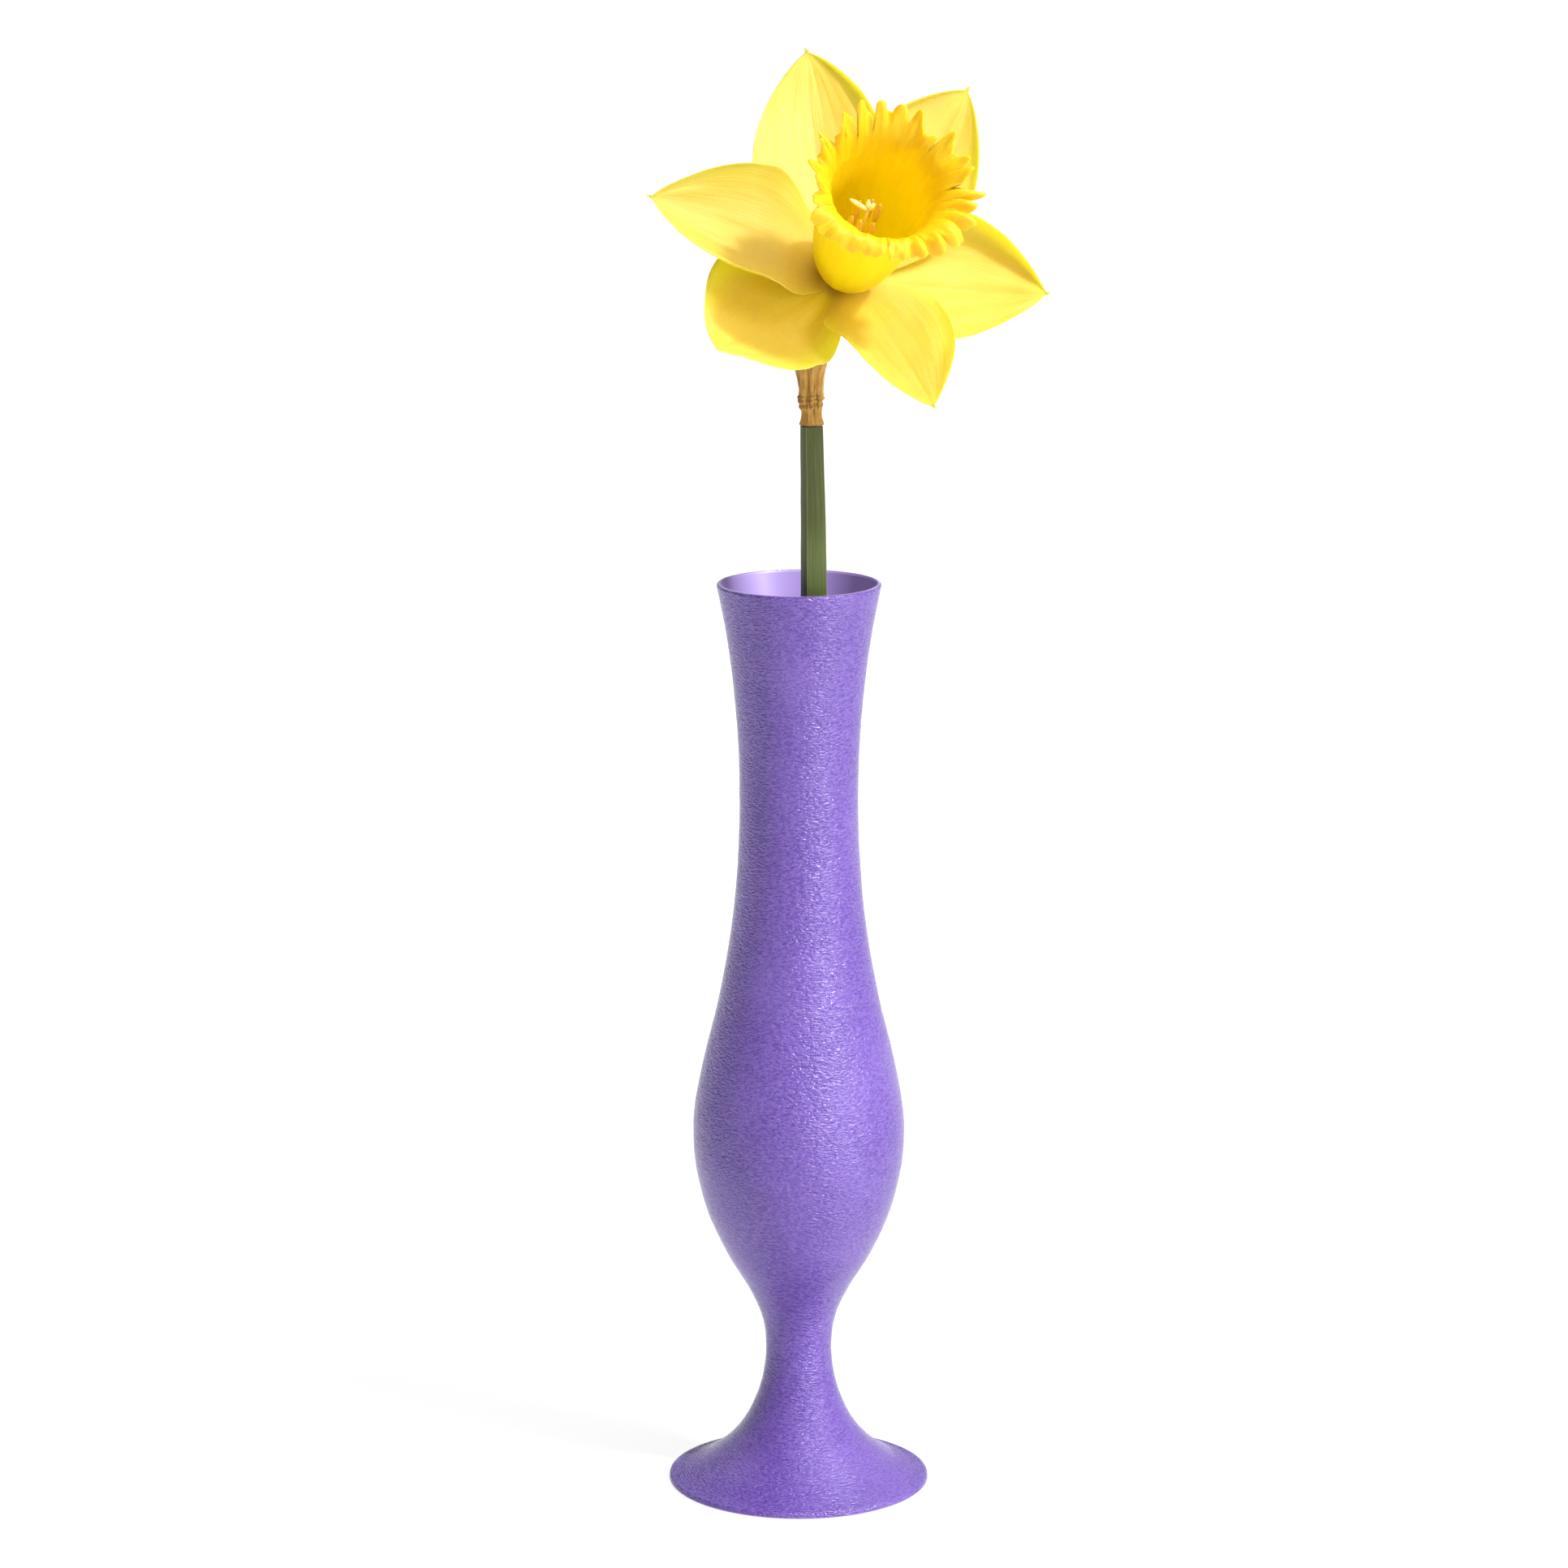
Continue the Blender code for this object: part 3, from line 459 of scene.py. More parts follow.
class Shading:
    """The nodes of one material."""

    def __init__(self, name):
        self.material = bpy.data.materials.new(name)
        self.material.use_nodes = True
        self.tree = self.material.node_tree
        self.tree.nodes.clear()
        self.spot = self.node("ShaderNodeTexCoord").outputs["Object"]

    def node(self, kind, settings=None, sockets=None):
        """Add a node: its settings first, then its sockets' values or links."""
        made = self.tree.nodes.new(kind)
        for name, value in (settings or {}).items():
            setattr(made, name, value)
        for name, value in (sockets or {}).items():
            socket = made.inputs[name]
            if isinstance(value, Number):
                self.tree.links.new(value.socket, socket)
            elif isinstance(value, bpy.types.NodeSocket):
                self.tree.links.new(value, socket)
            elif socket.type == "RGBA":
                socket.default_value = (*value[:3], 1.0)
            else:
                socket.default_value = value
        return made

    def number(self, kind, settings, sockets, output):
        return Number(self, self.node(kind, settings, sockets).outputs[output])

    def place(self):
        """Object coordinates as three numbers."""
        split = self.node("ShaderNodeSeparateXYZ", None, {0: self.spot})
        return [Number(self, split.outputs[i]) for i in range(3)]

    def surface(self):
        """Place across and along the piece's own surface, each from 0 to 1."""
        spread = self.node("ShaderNodeUVMap", {"uv_map": "UVMap"})
        split = self.node("ShaderNodeSeparateXYZ", None, {0: spread.outputs["UV"]})
        return [Number(self, split.outputs[i]) for i in range(2)]

    def attribute(self, name):
        return self.number("ShaderNodeAttribute", {"attribute_name": name}, None, "Fac")

    def vector(self, x, y, z):
        return self.node("ShaderNodeCombineXYZ", None, {0: x, 1: y, 2: z}).outputs[0]

    def noise(self, vector, scale, detail=2.0, roughness=0.5, distortion=0.0):
        return self.number("ShaderNodeTexNoise", None, {
            "Vector": vector, "Scale": scale, "Detail": detail, "Roughness": roughness,
            "Distortion": distortion}, "Fac")

    def cloudy(self, scale, detail=2.0, roughness=0.5):
        """Noise through the piece."""
        return self.noise(self.spot, scale, detail, roughness)

    def strands(self, across, along, seed, detail=2.0, roughness=0.5):
        """Noise drawn out along the piece's own surface, from how often it changes each way."""
        u, v = self.surface()
        return self.noise(self.vector(u * across, v * along, seed), 1.0, detail, roughness)

    def mix(self, factor, a, b):
        """Colour between a and b."""
        node = self.node("ShaderNodeMix", {"data_type": "RGBA"}, {0: factor, 6: a, 7: b})
        return node.outputs[2]

    def bump(self, height, distance):
        """Normal from a height of 0 to 1 that stands for distance in metres."""
        return self.node("ShaderNodeBump", None, {
            "Height": height, "Distance": distance, "Strength": 1.0}).outputs[0]

    def finish(self, colour, roughness, relief=None, scatter=None, **sockets):
        """End the material in a Principled shader.

        relief is a height from 0 to 1 and its depth in metres, scatter the subsurface weight,
        its reach by colour and its scale, and the rest are other sockets of the shader.
        """
        named = {"Base Color": colour, "Roughness": roughness}
        if relief:
            named["Normal"] = self.bump(*relief)
        if scatter:
            named.update(zip(SCATTER_SOCKETS, scatter))
        named.update((name.replace("_", " "), value) for name, value in sockets.items())
        shader = self.node("ShaderNodeBsdfPrincipled", None, named)
        self.node("ShaderNodeOutputMaterial", None, {"Surface": shader.outputs[0]})
        return self.material


def smooth_step(x):
    x = min(max(x, 0.0), 1.0)
    return x * x * (3 - 2 * x)


def tint(colour, gain, lift=0.0):
    """A colour made lighter or darker."""
    return [min(c * gain + lift, 1.0) for c in colour]


def curve_through(points, share):
    """Point at a share (0 to 1) along a Catmull-Rom curve through the points."""
    last = len(points) - 1
    place = min(max(share, 0.0), 1.0) * last
    i = min(int(place), last - 1)
    t = place - i
    b, c = Vector(points[i]), Vector(points[i + 1])
    a = Vector(points[i - 1]) if i > 0 else b * 2 - c
    d = Vector(points[i + 2]) if i + 2 <= last else c * 2 - b
    return 0.5 * (b * 2 + (c - a) * t + (a * 2 - b * 5 + c * 4 - d) * t ** 2
                  + (b * 3 - a - c * 3 + d) * t ** 3)


def along_route(route, share):
    """Centre and radius in metres at a share of a route of ((x, y, z), radius)."""
    x, y, z, radius = curve_through([(*centre, radius) for centre, radius in route], share) * MM
    return Vector((x, y, z)), radius


def rod_place(u):
    """Share of its route at u along a closed rod, and whether u is one of its end points."""
    share = (u - ROD_END) / (1 - 2 * ROD_END)
    return min(max(share, 0.0), 1.0), u < ROD_END / 3 or u > 1 - ROD_END / 3


def ripple(x, y, z, seed=0.0):
    """Smooth random height from about -1 to 1."""
    return noise.noise(Vector((x, y, z + seed)))


def add_primitive(name, operator, **sizes):
    """Add a primitive with only itself selected, and return it."""
    bpy.ops.object.select_all(action="DESELECT")
    operator(**sizes)
    piece = bpy.context.object
    piece.name = name
    piece.data.name = name
    return piece


def edit_all(piece, *steps):
    """Run edit-mode steps on the whole piece."""
    bpy.ops.object.select_all(action="DESELECT")
    piece.select_set(True)
    bpy.context.view_layer.objects.active = piece
    bpy.ops.object.mode_set(mode="EDIT")
    bpy.ops.mesh.select_all(action="SELECT")
    for step in steps:
        step()
    bpy.ops.object.mode_set(mode="OBJECT")


def weld():
    bpy.ops.mesh.remove_doubles(threshold=WELD)


def face_outward():
    bpy.ops.mesh.normals_make_consistent(inside=False)


def apply_modifier(piece, kind, **settings):
    """Add a modifier with these settings and apply it."""
    modifier = piece.modifiers.new(kind.lower(), kind)
    for name, value in settings.items():
        setattr(modifier, name, value)
    bpy.context.view_layer.objects.active = piece
    bpy.ops.object.modifier_apply(modifier=modifier.name)


def turn_section(name, section, sides, centre=(0, 0, 0), axis=(0, 0, 1), ring=False):
    """Spin a section into a closed piece; both its ends are on the axis, unless it is a ring's."""
    count = len(section)
    piece = add_primitive(name, bpy.ops.mesh.primitive_circle_add, vertices=count, radius=1)
    for vert, point in zip(piece.data.vertices, section):
        vert.co = point

    def open_on_axis():
        bpy.ops.mesh.select_all(action="DESELECT")
        bpy.ops.mesh.select_mode(type="EDGE")
        bpy.ops.object.mode_set(mode="OBJECT")
        for edge in piece.data.edges:
            edge.select = set(edge.vertices) == {0, count - 1}
        bpy.ops.object.mode_set(mode="EDIT")
        bpy.ops.mesh.delete(type="EDGE")
        bpy.ops.mesh.select_all(action="SELECT")

    def spin():
        bpy.ops.mesh.spin(steps=sides, angle=2 * pi, center=centre, axis=axis,
                          use_auto_merge=False)
        bpy.ops.mesh.select_all(action="SELECT")

    edit_all(piece, *([] if ring else [open_on_axis]), spin, weld, face_outward)
    return piece


def lay_grid(name, rows, columns, place, closed=False):
    """A grid laid out by place(along, across), each from 0 to 1; closed ones face outward."""
    piece = add_primitive(name, bpy.ops.mesh.primitive_grid_add, x_subdivisions=columns,
                          y_subdivisions=rows, size=2, calc_uvs=True)
    for vert in piece.data.vertices:
        vert.co = place((vert.co.y + 1) / 2, (vert.co.x + 1) / 2)
    edit_all(piece, weld, *([face_outward] if closed else []))
    return piece


def thicken(piece, thickness, thin_share=1.0, weight=None):
    """Give a sheet its thickness, half to each side, and thin_share of it where the weight is 0.

    The weight, from 0 to 1, is worked out as weight(along, across) from the sheet's UV map.
    """
    settings = {}
    if weight:
        weights = [1.0] * len(piece.data.vertices)
        spread = piece.data.uv_layers.active.data
        for loop in piece.data.loops:
            across, along = spread[loop.index].uv
            weights[loop.vertex_index] = weight(along, across)
        group = piece.vertex_groups.new(name="thickness")
        for index, share in enumerate(weights):
            group.add([index], share, "REPLACE")
        settings = {"vertex_group": "thickness", "thickness_vertex_group": thin_share}
    apply_modifier(piece, "SOLIDIFY", thickness=thickness, offset=0.0, **settings)
    piece.vertex_groups.clear()
    edit_all(piece, face_outward)


def complete(piece, material, slot, *nodes, angle=50):
    """Shade a piece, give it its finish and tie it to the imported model."""
    bpy.ops.object.select_all(action="DESELECT")
    piece.select_set(True)
    bpy.context.view_layer.objects.active = piece
    bpy.ops.object.transform_apply(location=True, rotation=True, scale=True)
    bpy.ops.object.shade_smooth_by_angle(angle=radians(angle))
    piece.data.materials.clear()
    piece.data.materials.append(material)
    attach(piece, "root")
    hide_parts(*nodes)


def vase_section(settings):
    """Radius and height in metres from the middle of the cavity over the lip to the foot."""
    lip_height, lip_radius = VASE_OUTSIDE[0]
    bottom = [Vector((radius, height)) * MM for height, radius in CAVITY_BOTTOM]
    wall_points = []
    for height, radius in reversed(VASE_OUTSIDE):
        if height * MM > bottom[-1].y + WALL_FROM * MM:
            near_lip = smooth_step(1 - (lip_height - height) / LIP_TAPER)
            wall = settings.wall + (settings.lip - settings.wall) * near_lip
            wall_points.append(Vector((radius * MM - wall, height * MM)))
    inside = bottom + wall_points
    section = [curve_through(inside, i / CAVITY_STEPS) for i in range(CAVITY_STEPS + 1)]
    round_lip = settings.lip / 2
    middle = Vector((lip_radius * MM - round_lip, lip_height * MM))
    for i in range(1, LIP_STEPS):
        angle = pi - pi * i / LIP_STEPS
        section.append(middle + Vector((cos(angle), sin(angle))) * round_lip)
    outside = [(radius, height) for height, radius in VASE_OUTSIDE]
    share = 0.0
    while share < 1.0:
        section.append(curve_through(outside, share) * MM)
        share += BODY_STEP if share < FOOT_FROM else FOOT_STEP
    section += [Vector(point) * MM for point in FOOT_EDGE]
    return section + [Vector((0, 0))]


def outer_radius(height):
    """Radius of the vase's outside, in millimetres, at a height in millimetres."""
    for (z1, r1), (z0, r0) in zip(VASE_OUTSIDE, VASE_OUTSIDE[1:]):
        if z0 <= height <= z1:
            return r0 + (r1 - r0) * (height - z0) / (z1 - z0)
    return VASE_OUTSIDE[0][1] if height > VASE_OUTSIDE[0][0] else FOOT_EDGE[1][0]


def skin_share(radius, height):
    """1 on the wrinkled outside up to the top of the lip, 0 inside and underneath.

    Radius and height are in millimetres.
    """
    if height < SKIN_BOTTOM or radius <= outer_radius(height) - SKIN_DEEP:
        return 0.0
    return smooth_step((SKIN_TOP - height) / SKIN_FADE)


def lump(x, y, z, sizes, seed=0.0):
    """Height of the skin's soft lumps of one kind at a place in millimetres."""
    width, height, depth = sizes
    return ripple(x / width, y / width, z / height, seed) * depth


def make_vase(settings):
    """The vase, turned from its section, with lumps on its skin and rings near its edge."""
    section = [Vector((radius, 0, height)) for radius, height in vase_section(settings)]
    vase = turn_section("vase_skin", section, VASE_SIDES)
    mesh = vase.data
    layer = settings.layer / MM
    normals = [vert.normal.copy() for vert in mesh.vertices]
    shares = []
    for vert, normal in zip(mesh.vertices, normals):
        x, y, z = vert.co / MM
        radius = sqrt(x * x + y * y)
        skin = skin_share(radius, z)
        shares.append(skin)
        if skin:
            lumps = lump(x, y, z, SMALL_LUMPS) + lump(x, y, z, WIDE_LUMPS, 50)
            near_edge = smooth_step((radius - RINGS_FROM) / RINGS_FADE) if z < RINGS_BELOW else 0.0
            ring = cos(2 * pi * (radius - z * 0.4) / layer) * RING_DEPTH * near_edge
            vert.co += normal * (lumps * (1 - near_edge) + ring) * skin * MM
    skin_mark = mesh.attributes.new("skin", "FLOAT", "POINT")
    skin_mark.data.foreach_set("value", shares)
    complete(vase, vase_material(settings), "vase", "vase")


def vase_material(settings):
    look = Shading("wrinkled_purple_skin")
    x, y, z = look.place()
    skin = look.attribute("skin")
    radius = (x * x + y * y) ** 0.5
    # On the foot the wrinkles run outward, so the radius counts there as well as the height
    climb = z - (radius - WAIST_RADIUS).at_least(0.0) * (z < FOOT_HEIGHT)
    long, high = settings.wrinkle_length, settings.wrinkle_height
    wrinkle = look.noise(look.vector(x / long, y / long, climb / high), 1.0, 1.8, 0.5, 0.4)
    grain = look.noise(look.vector(x, y, climb), 2600.0, 1.0)
    height = wrinkle * 0.8 + grain * 0.2
    # Painted shade: the valleys between the wrinkles take the deeper purple, by the bump's height
    colour = look.mix(height.between(0.36, 0.62), settings.painted_valley_shade, settings.skin)
    cloud = look.cloudy(55.0).between(0.35, 0.75)
    colour = look.mix(cloud * 0.25, colour, tint(settings.skin, 1.25, 0.05))
    colour = look.mix(skin, settings.inside, colour)
    roughness = (0.3 - grain * 0.24) * skin + (1 - skin) * 0.38
    return look.finish(colour, roughness, (height * skin, settings.wrinkle_depth), IOR=1.5,
                       Specular_IOR_Level=0.8)


def make_water():
    """The water keeps its solid's shape and gets a clear finish with a faint swell."""
    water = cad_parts["water"]
    if not water.material_slots:
        raise RuntimeError("the water has no material slot")
    look = Shading("still_water")
    swell = look.cloudy(90.0, 1.0, 0.4)
    colour = look.mix(swell.between(0.3, 0.7), (0.90, 0.96, 0.97), (0.97, 1.0, 1.0))
    material = look.finish(colour, 0.02, (swell, 0.00004), IOR=1.333, Transmission_Weight=1.0)
    for place in water.material_slots:
        place.material = material


def stem_radius(turn):
    """Share of the full radius at an angle round the scape, flatter between its ridges."""
    turn = (turn + 180) % 360 - 180
    ridges = [STEM_RIDGES[-1] - 360] + STEM_RIDGES + [STEM_RIDGES[0] + 360]
    for a, b in zip(ridges, ridges[1:]):
        if a <= turn <= b:
            half = radians(b - a) / 2
            flat = cos(half) / cos(radians(turn - (a + b) / 2))
            return 1 - STEM_FLATNESS * (1 - flat)


def make_stem(settings):
    """The green scape with its long ridges."""
    def place(u, v):
        share, at_end = rod_place(u)
        centre, radius = along_route(STEM_ROUTE, share)
        if at_end:
            return centre
        turn = 2 * pi * v - pi
        uneven = 1 + 0.02 * ripple(cos(turn), sin(turn), share * 18)
        streak = 1 + 0.006 * sin(23 * turn)
        size = radius * stem_radius(turn * 180 / pi) * uneven * streak
        return centre + Vector((cos(turn), sin(turn), 0)) * size

    stem = lay_grid("scape", STEM_ROWS, STEM_SIDES, place, closed=True)
    complete(stem, stem_material(settings), "stem", "stem", angle=40)


def stem_material(settings):
    look = Shading("ribbed_green_scape")
    x, y, z = look.place()
    across = look.surface()[0]
    streaks = look.strands(46, 5, 0.0, 3.0, 0.6)
    fibres = look.strands(150, 12, 4.0, 2.0, 0.6)
    blotch = look.cloudy(160.0, 3.0, 0.6)
    # Mask of the four ridges, for a painted highlight along them
    ridges = 0.0
    for ridge in STEM_RIDGES:
        ridges = ridges + 1 - ((across - (ridge + 180) / 360) * 360).size().between(0.8, 3.0)
    dark = tint(settings.green, 0.55)
    colour = look.mix(1 - z.between(0.222, 0.236), settings.green, settings.fresh)
    colour = look.mix(streaks.between(0.5, 0.72) * 0.5, colour, tint(settings.fresh, 1.7, 0.015))
    colour = look.mix(fibres.between(0.55, 0.75) * 0.5, colour, dark)
    colour = look.mix(blotch.between(0.62, 0.78) * 0.25, colour, dark)
    specks = look.number("ShaderNodeTexVoronoi", {"feature": "F1"}, {
        "Vector": look.vector(x, y, z * 0.6), "Scale": 420.0}, "Distance")
    rare = look.cloudy(210.0, 0.0).between(0.66, 0.70)
    colour = look.mix((1 - specks.between(0.10, 0.18)) * rare * 0.7, colour, (0.55, 0.56, 0.36))
    # Painted highlight: the ridges are painted a paler green, as where light catches them
    colour = look.mix(ridges * (0.35 + streaks * 0.5), colour, (0.24, 0.27, 0.075))
    relief = (streaks * 0.5 + fibres * 0.5, 0.00022)
    return look.finish(colour, 0.36 + fibres * 0.22, relief, (0.08, (0.4, 1.0, 0.2), 0.001))


def spathe_point(u, v):
    """Middle surface of the spathe: u runs up it and v round it, from the split side."""
    front = atan2(FLOWER_OUT.y, FLOWER_OUT.x)
    turn = front + 2 * pi * v
    x, y = cos(turn), sin(turn)
    back = 0.5 - 0.5 * cos(turn - front)
    torn = 0.02 * ripple(x * 3, y * 3, 1.0)
    reach = u * (SPATHE_FRONT + torn + (1 - SPATHE_FRONT - torn) * back ** 2.2)
    centre, radius = along_route(SPATHE_ROUTE, reach)
    height = centre.z / MM
    folds = 0.13 * sin(7 * turn + 1.5 * sin(reach * 9)) + 0.07 * sin(17 * turn + 4 * reach)
    folds += 0.16 * ripple(x * 2.4, y * 2.4, height / 14)
    folds += 0.11 * ripple(x * 7, y * 7, height / 4, 9)
    open_share = smooth_step(reach / 0.5)
    size = radius / MM + folds * (0.8 + 1.6 * open_share)
    flare = smooth_step((height - 264.5) / 4) * (1 - back) ** 5
    size += 1.2 * flare
    tilt = 0.35 * sin(turn + 0.8) + 0.25 * ripple(x * 1.5, y * 1.5, 3.0)
    for ring, rise, out in SPATHE_RINGS:
        gap = (height - ring - tilt) / rise
        size += out * exp(-gap * gap) * (0.6 + 0.7 * ripple(x * 2, y * 2, ring))
    return centre + Vector((x, y, 0)) * size * MM


def make_spathe(settings):
    """The papery sheath round the neck of the flower."""
    spathe = lay_grid("papery_spathe", SPATHE_ROWS, SPATHE_COLUMNS, spathe_point)
    thicken(spathe, SPATHE_THICKNESS)
    complete(spathe, spathe_material(settings), "spathe", "spathe", angle=60)


def spathe_material(settings):
    look = Shading("dry_tan_paper")
    z = look.place()[2]
    fibres = look.strands(64, 5, 0.0, 4.0, 0.6)
    folds = look.strands(22, 3, 7.0)
    blotch = look.cloudy(330.0, 4.0, 0.65)
    dark = settings.paper_dark
    pale = tint(settings.paper, 1.35, 0.03)
    colour = look.mix(blotch.between(0.35, 0.7) * 0.6, settings.paper, pale)
    colour = look.mix(fibres.between(0.52, 0.68) * 0.62, colour, dark)
    colour = look.mix(folds.between(0.58, 0.70) * 0.55, colour, dark)
    rim = 1 - z.between(0.2537, 0.2545)
    knot = 1 - ((z - 0.2589) * 900).size().between(0.4, 1.6)
    colour = look.mix(knot * blotch.between(0.45, 0.6) * 0.6, colour, dark)
    colour = look.mix(rim * 0.85, colour, dark)
    relief = (fibres * 0.6 + blotch * 0.4, 0.00035)
    return look.finish(colour, 0.55 + blotch * 0.25, relief, (0.15, (1.0, 0.5, 0.2), 0.0008))


def make_ovary(settings):
    """Pedicel and three-lobed ovary behind the flower."""
    def place(u, v):
        share, at_end = rod_place(u)
        centre, radius = along_route(OVARY_ROUTE, share)
        if at_end:
            return centre
        ahead, _ = along_route(OVARY_ROUTE, min(share + 0.01, 1.0))
        behind, _ = along_route(OVARY_ROUTE, max(share - 0.01, 0.0))
        way = (ahead - behind).normalized()
        side = way.cross(Vector((1, 0, 0))).normalized()
        other = way.cross(side)
        turn = 2 * pi * v
        swollen = smooth_step((radius / MM - 1.4) / 1.2)
        size = radius * (1 - 0.05 * swollen * (1 - cos(3 * turn)) + 0.008 * sin(12 * turn))
        return centre + (side * cos(turn) + other * sin(turn)) * size

    ovary = lay_grid("green_ovary", OVARY_ROWS, OVARY_SIDES, place, closed=True)
    look = Shading("waxy_green_ovary")
    streaks = look.strands(30, 4, 0.0, 3.0, 0.6)
    blotch = look.cloudy(260.0, 3.0, 0.6)
    pale = tint(settings.ovary, 1.8, 0.03)
    colour = look.mix(streaks.between(0.4, 0.7) * 0.6, settings.ovary, pale)
    colour = look.mix(blotch.between(0.55, 0.75) * 0.3, colour, tint(settings.ovary, 0.6))
    material = look.finish(colour, 0.38 + blotch * 0.2, (streaks, 0.0002),
                           (0.1, (0.4, 1.0, 0.2), 0.001))
    complete(ovary, material, "ovary", "ovary")


def flower_depth(look):
    """Distance in front of the flower's centre, along its axis."""
    x, y, z = look.place()
    return (x * FLOWER_OUT.x + y * FLOWER_OUT.y + z * FLOWER_OUT.z
            - FLOWER_CENTRE.dot(FLOWER_OUT))


def on_axis_plane(radius, along):
    """Place in the world of a section's point, in millimetres from and along the axis."""
    return FLOWER @ (Vector((radius, 0, along)) * MM)


def make_floral_tube(flower):
    """The tube behind the petals, with six soft ribs, turned about the flower's axis."""
    section = []
    for a, b in zip(TUBE_PROFILE, TUBE_PROFILE[1:]):
        for i in range(TUBE_STEPS):
            along, radius = Vector(a).lerp(Vector(b), i / TUBE_STEPS)
            section.append(on_axis_plane(radius, along))
    section.append(on_axis_plane(0, TUBE_PROFILE[-1][0]))
    tube = turn_section("floral_tube_skin", section, TUBE_SIDES, FLOWER_CENTRE, FLOWER_OUT)
    back = FLOWER.inverted()
    for vert in tube.data.vertices:
        spot = back @ vert.co
        radius = sqrt(spot.x ** 2 + spot.y ** 2)
        if radius > 1 * MM and spot.z < TUBE_RIBS_BEHIND:
            inward = TUBE_GROOVE * (0.5 - 0.5 * cos(6 * atan2(spot.y, spot.x)))
            vert.co = FLOWER @ Vector((spot.x * (1 - inward), spot.y * (1 - inward), spot.z))
    look = Shading("yellow_green_tube")
    blotch = look.cloudy(240.0, 3.0, 0.6)
    green = look.mix(blotch.between(0.3, 0.7) * 0.6, (0.30, 0.40, 0.06), (0.52, 0.56, 0.10))
    front = (flower_depth(look) + blotch * 0.004).between(-0.019, -0.004)
    colour = look.mix(front, green, flower.petal_base)
    material = look.finish(colour, 0.42 + blotch * 0.15, (blotch, 0.00015),
                           (0.35, (1.0, 0.7, 0.1), 0.002))
    complete(tube, material, "floral_tube", "floral_tube")


def petal_half_width(petal, u, shoulder):
    """Half width at u along the petal, as a share of the widest."""
    if u < petal.widest:
        return CLAW_WIDTH + (1 - CLAW_WIDTH) * sin(pi / 2 * u / petal.widest)
    past = (u - petal.widest) / (1 - petal.widest)
    return max(cos(pi / 2 * past ** shoulder), 0.0) ** PETAL_BLUNTNESS


def petal_side(petal, u, set_in, way):
    """Points across half a petal as (across, lift) in half widths, from midrib to margin."""
    cup = (petal.cup_cw if way < 0 else petal.cup_ccw) * set_in
    bends = []
    for roll in petal.rolls:
        if roll.side == way:
            fade = smooth_step((u - roll.start) / 0.18)
            fade *= smooth_step((roll.end + 0.04 - u) / 0.10)
            bends.append((roll.strip, radians(roll.bend) * fade))
    points = [(0.0, 0.0)]
    across = lift = 0.0
    for i in range(PETAL_HALF_COLUMNS):
        s = (i + 0.5) / PETAL_HALF_COLUMNS
        angle = cup * s
        for strip, bend in bends:
            angle += bend * smooth_step((s - 1 + strip) / strip)
        across += cos(angle) / PETAL_HALF_COLUMNS
        lift += sin(angle) / PETAL_HALF_COLUMNS
        points.append((across, lift))
    # The margin stays where the plain cup would have it, so a roll keeps the outline
    plain = sin(cup) / cup if cup > 0.001 else 1.0
    grow = plain / across
    return [(a * grow, b * grow) for a, b in points]


def petal_wave(turn, u, v):
    """Height of a petal's waves in millimetres at u along it and v across it, from -1 to 1."""
    far = abs(v)
    seed = turn * 0.37
    wave = 0.35 * sin(2 * pi * 2.5 * u + turn + v) * far ** 3 * (1 - u)
    wave += 0.75 * ripple(v * 1.1, u * 3.2, 0.0, seed) * far
    wave += 0.55 * ripple(v * 3.2, u * 3.4, 5.0, seed) * (0.4 + 0.6 * far)
    wave += 0.12 * ripple(v * 9.0, u * 4.0, 13.0, seed)
    wave += 0.40 * ripple(v * 2.0, u * 11.0, 9.0, seed) * far ** 4
    return wave


def petal_rows(petal, flower):
    """Rows of points right, up and out: a petal's middle surface."""
    rise_base, rise_tip = radians(petal.rise_base), radians(petal.rise_tip)
    length = petal.length * MM
    bend = rise_tip - rise_base
    turn = radians(petal.turn)
    radial = Vector((cos(turn), sin(turn), 0))
    side = Vector((-sin(turn), cos(turn), 0))
    out = Vector((0, 0, 1))
    rows = []
    for j in range(PETAL_ROWS + 1):
        u_all = j / PETAL_ROWS
        u = min(u_all / MUCRO_FROM, 1.0)
        beyond = max(u_all - MUCRO_FROM, 0.0) / (1 - MUCRO_FROM)
        # The rib is an arc that rises from its base to its tip
        rise = rise_base + bend * u
        along = PETAL_START + length * (sin(rise) - sin(rise_base)) / bend
        height = petal.layer * MM + length * (cos(rise_base) - cos(rise)) / bend
        normal = out * cos(rise) - radial * sin(rise)
        forward = radial * cos(rise) + out * sin(rise)
        set_in = smooth_step(u / PETAL_FADE)
        twist = radians(petal.twist_base + petal.twist_more * u) * set_in
        across = side * cos(twist) + normal * sin(twist)
        lift_way = normal * cos(twist) - side * sin(twist)
        rib = radial * along + out * height + side * petal.sway * MM * u ** 2
        rib += forward * MUCRO_LENGTH * beyond
        row = []
        for way in (-1, 1):
            widest = petal.half_cw if way < 0 else petal.half_ccw
            shoulder = petal.shoulder_cw if way < 0 else petal.shoulder_ccw
            half = widest * MM * petal_half_width(petal, u, shoulder)
            half = max(half, MUCRO_HALF * (1 - 0.25 * beyond))
            points = []
            for i, (wide, lift) in enumerate(petal_side(petal, u, set_in, way)):
                v = way * i / PETAL_HALF_COLUMNS
                wave = petal_wave(petal.turn, u, v) * min(half / WAVES_FROM, 1.0)
                crease = exp(-(v / 0.09) ** 2) + 0.35 * exp(-(v / 0.24) ** 2)
                groove = -flower.midrib * petal.midrib * crease * smooth_step((1.02 - u) / 0.25)
                push = (wave * MM * set_in + groove * (0.3 + 0.7 * set_in)) * (1 - beyond)
                points.append(rib + across * wide * half * way + lift_way * (lift * half + push))
            row = points[::-1] if way < 0 else row + points[1:]
        rows.append(row)
    return rows


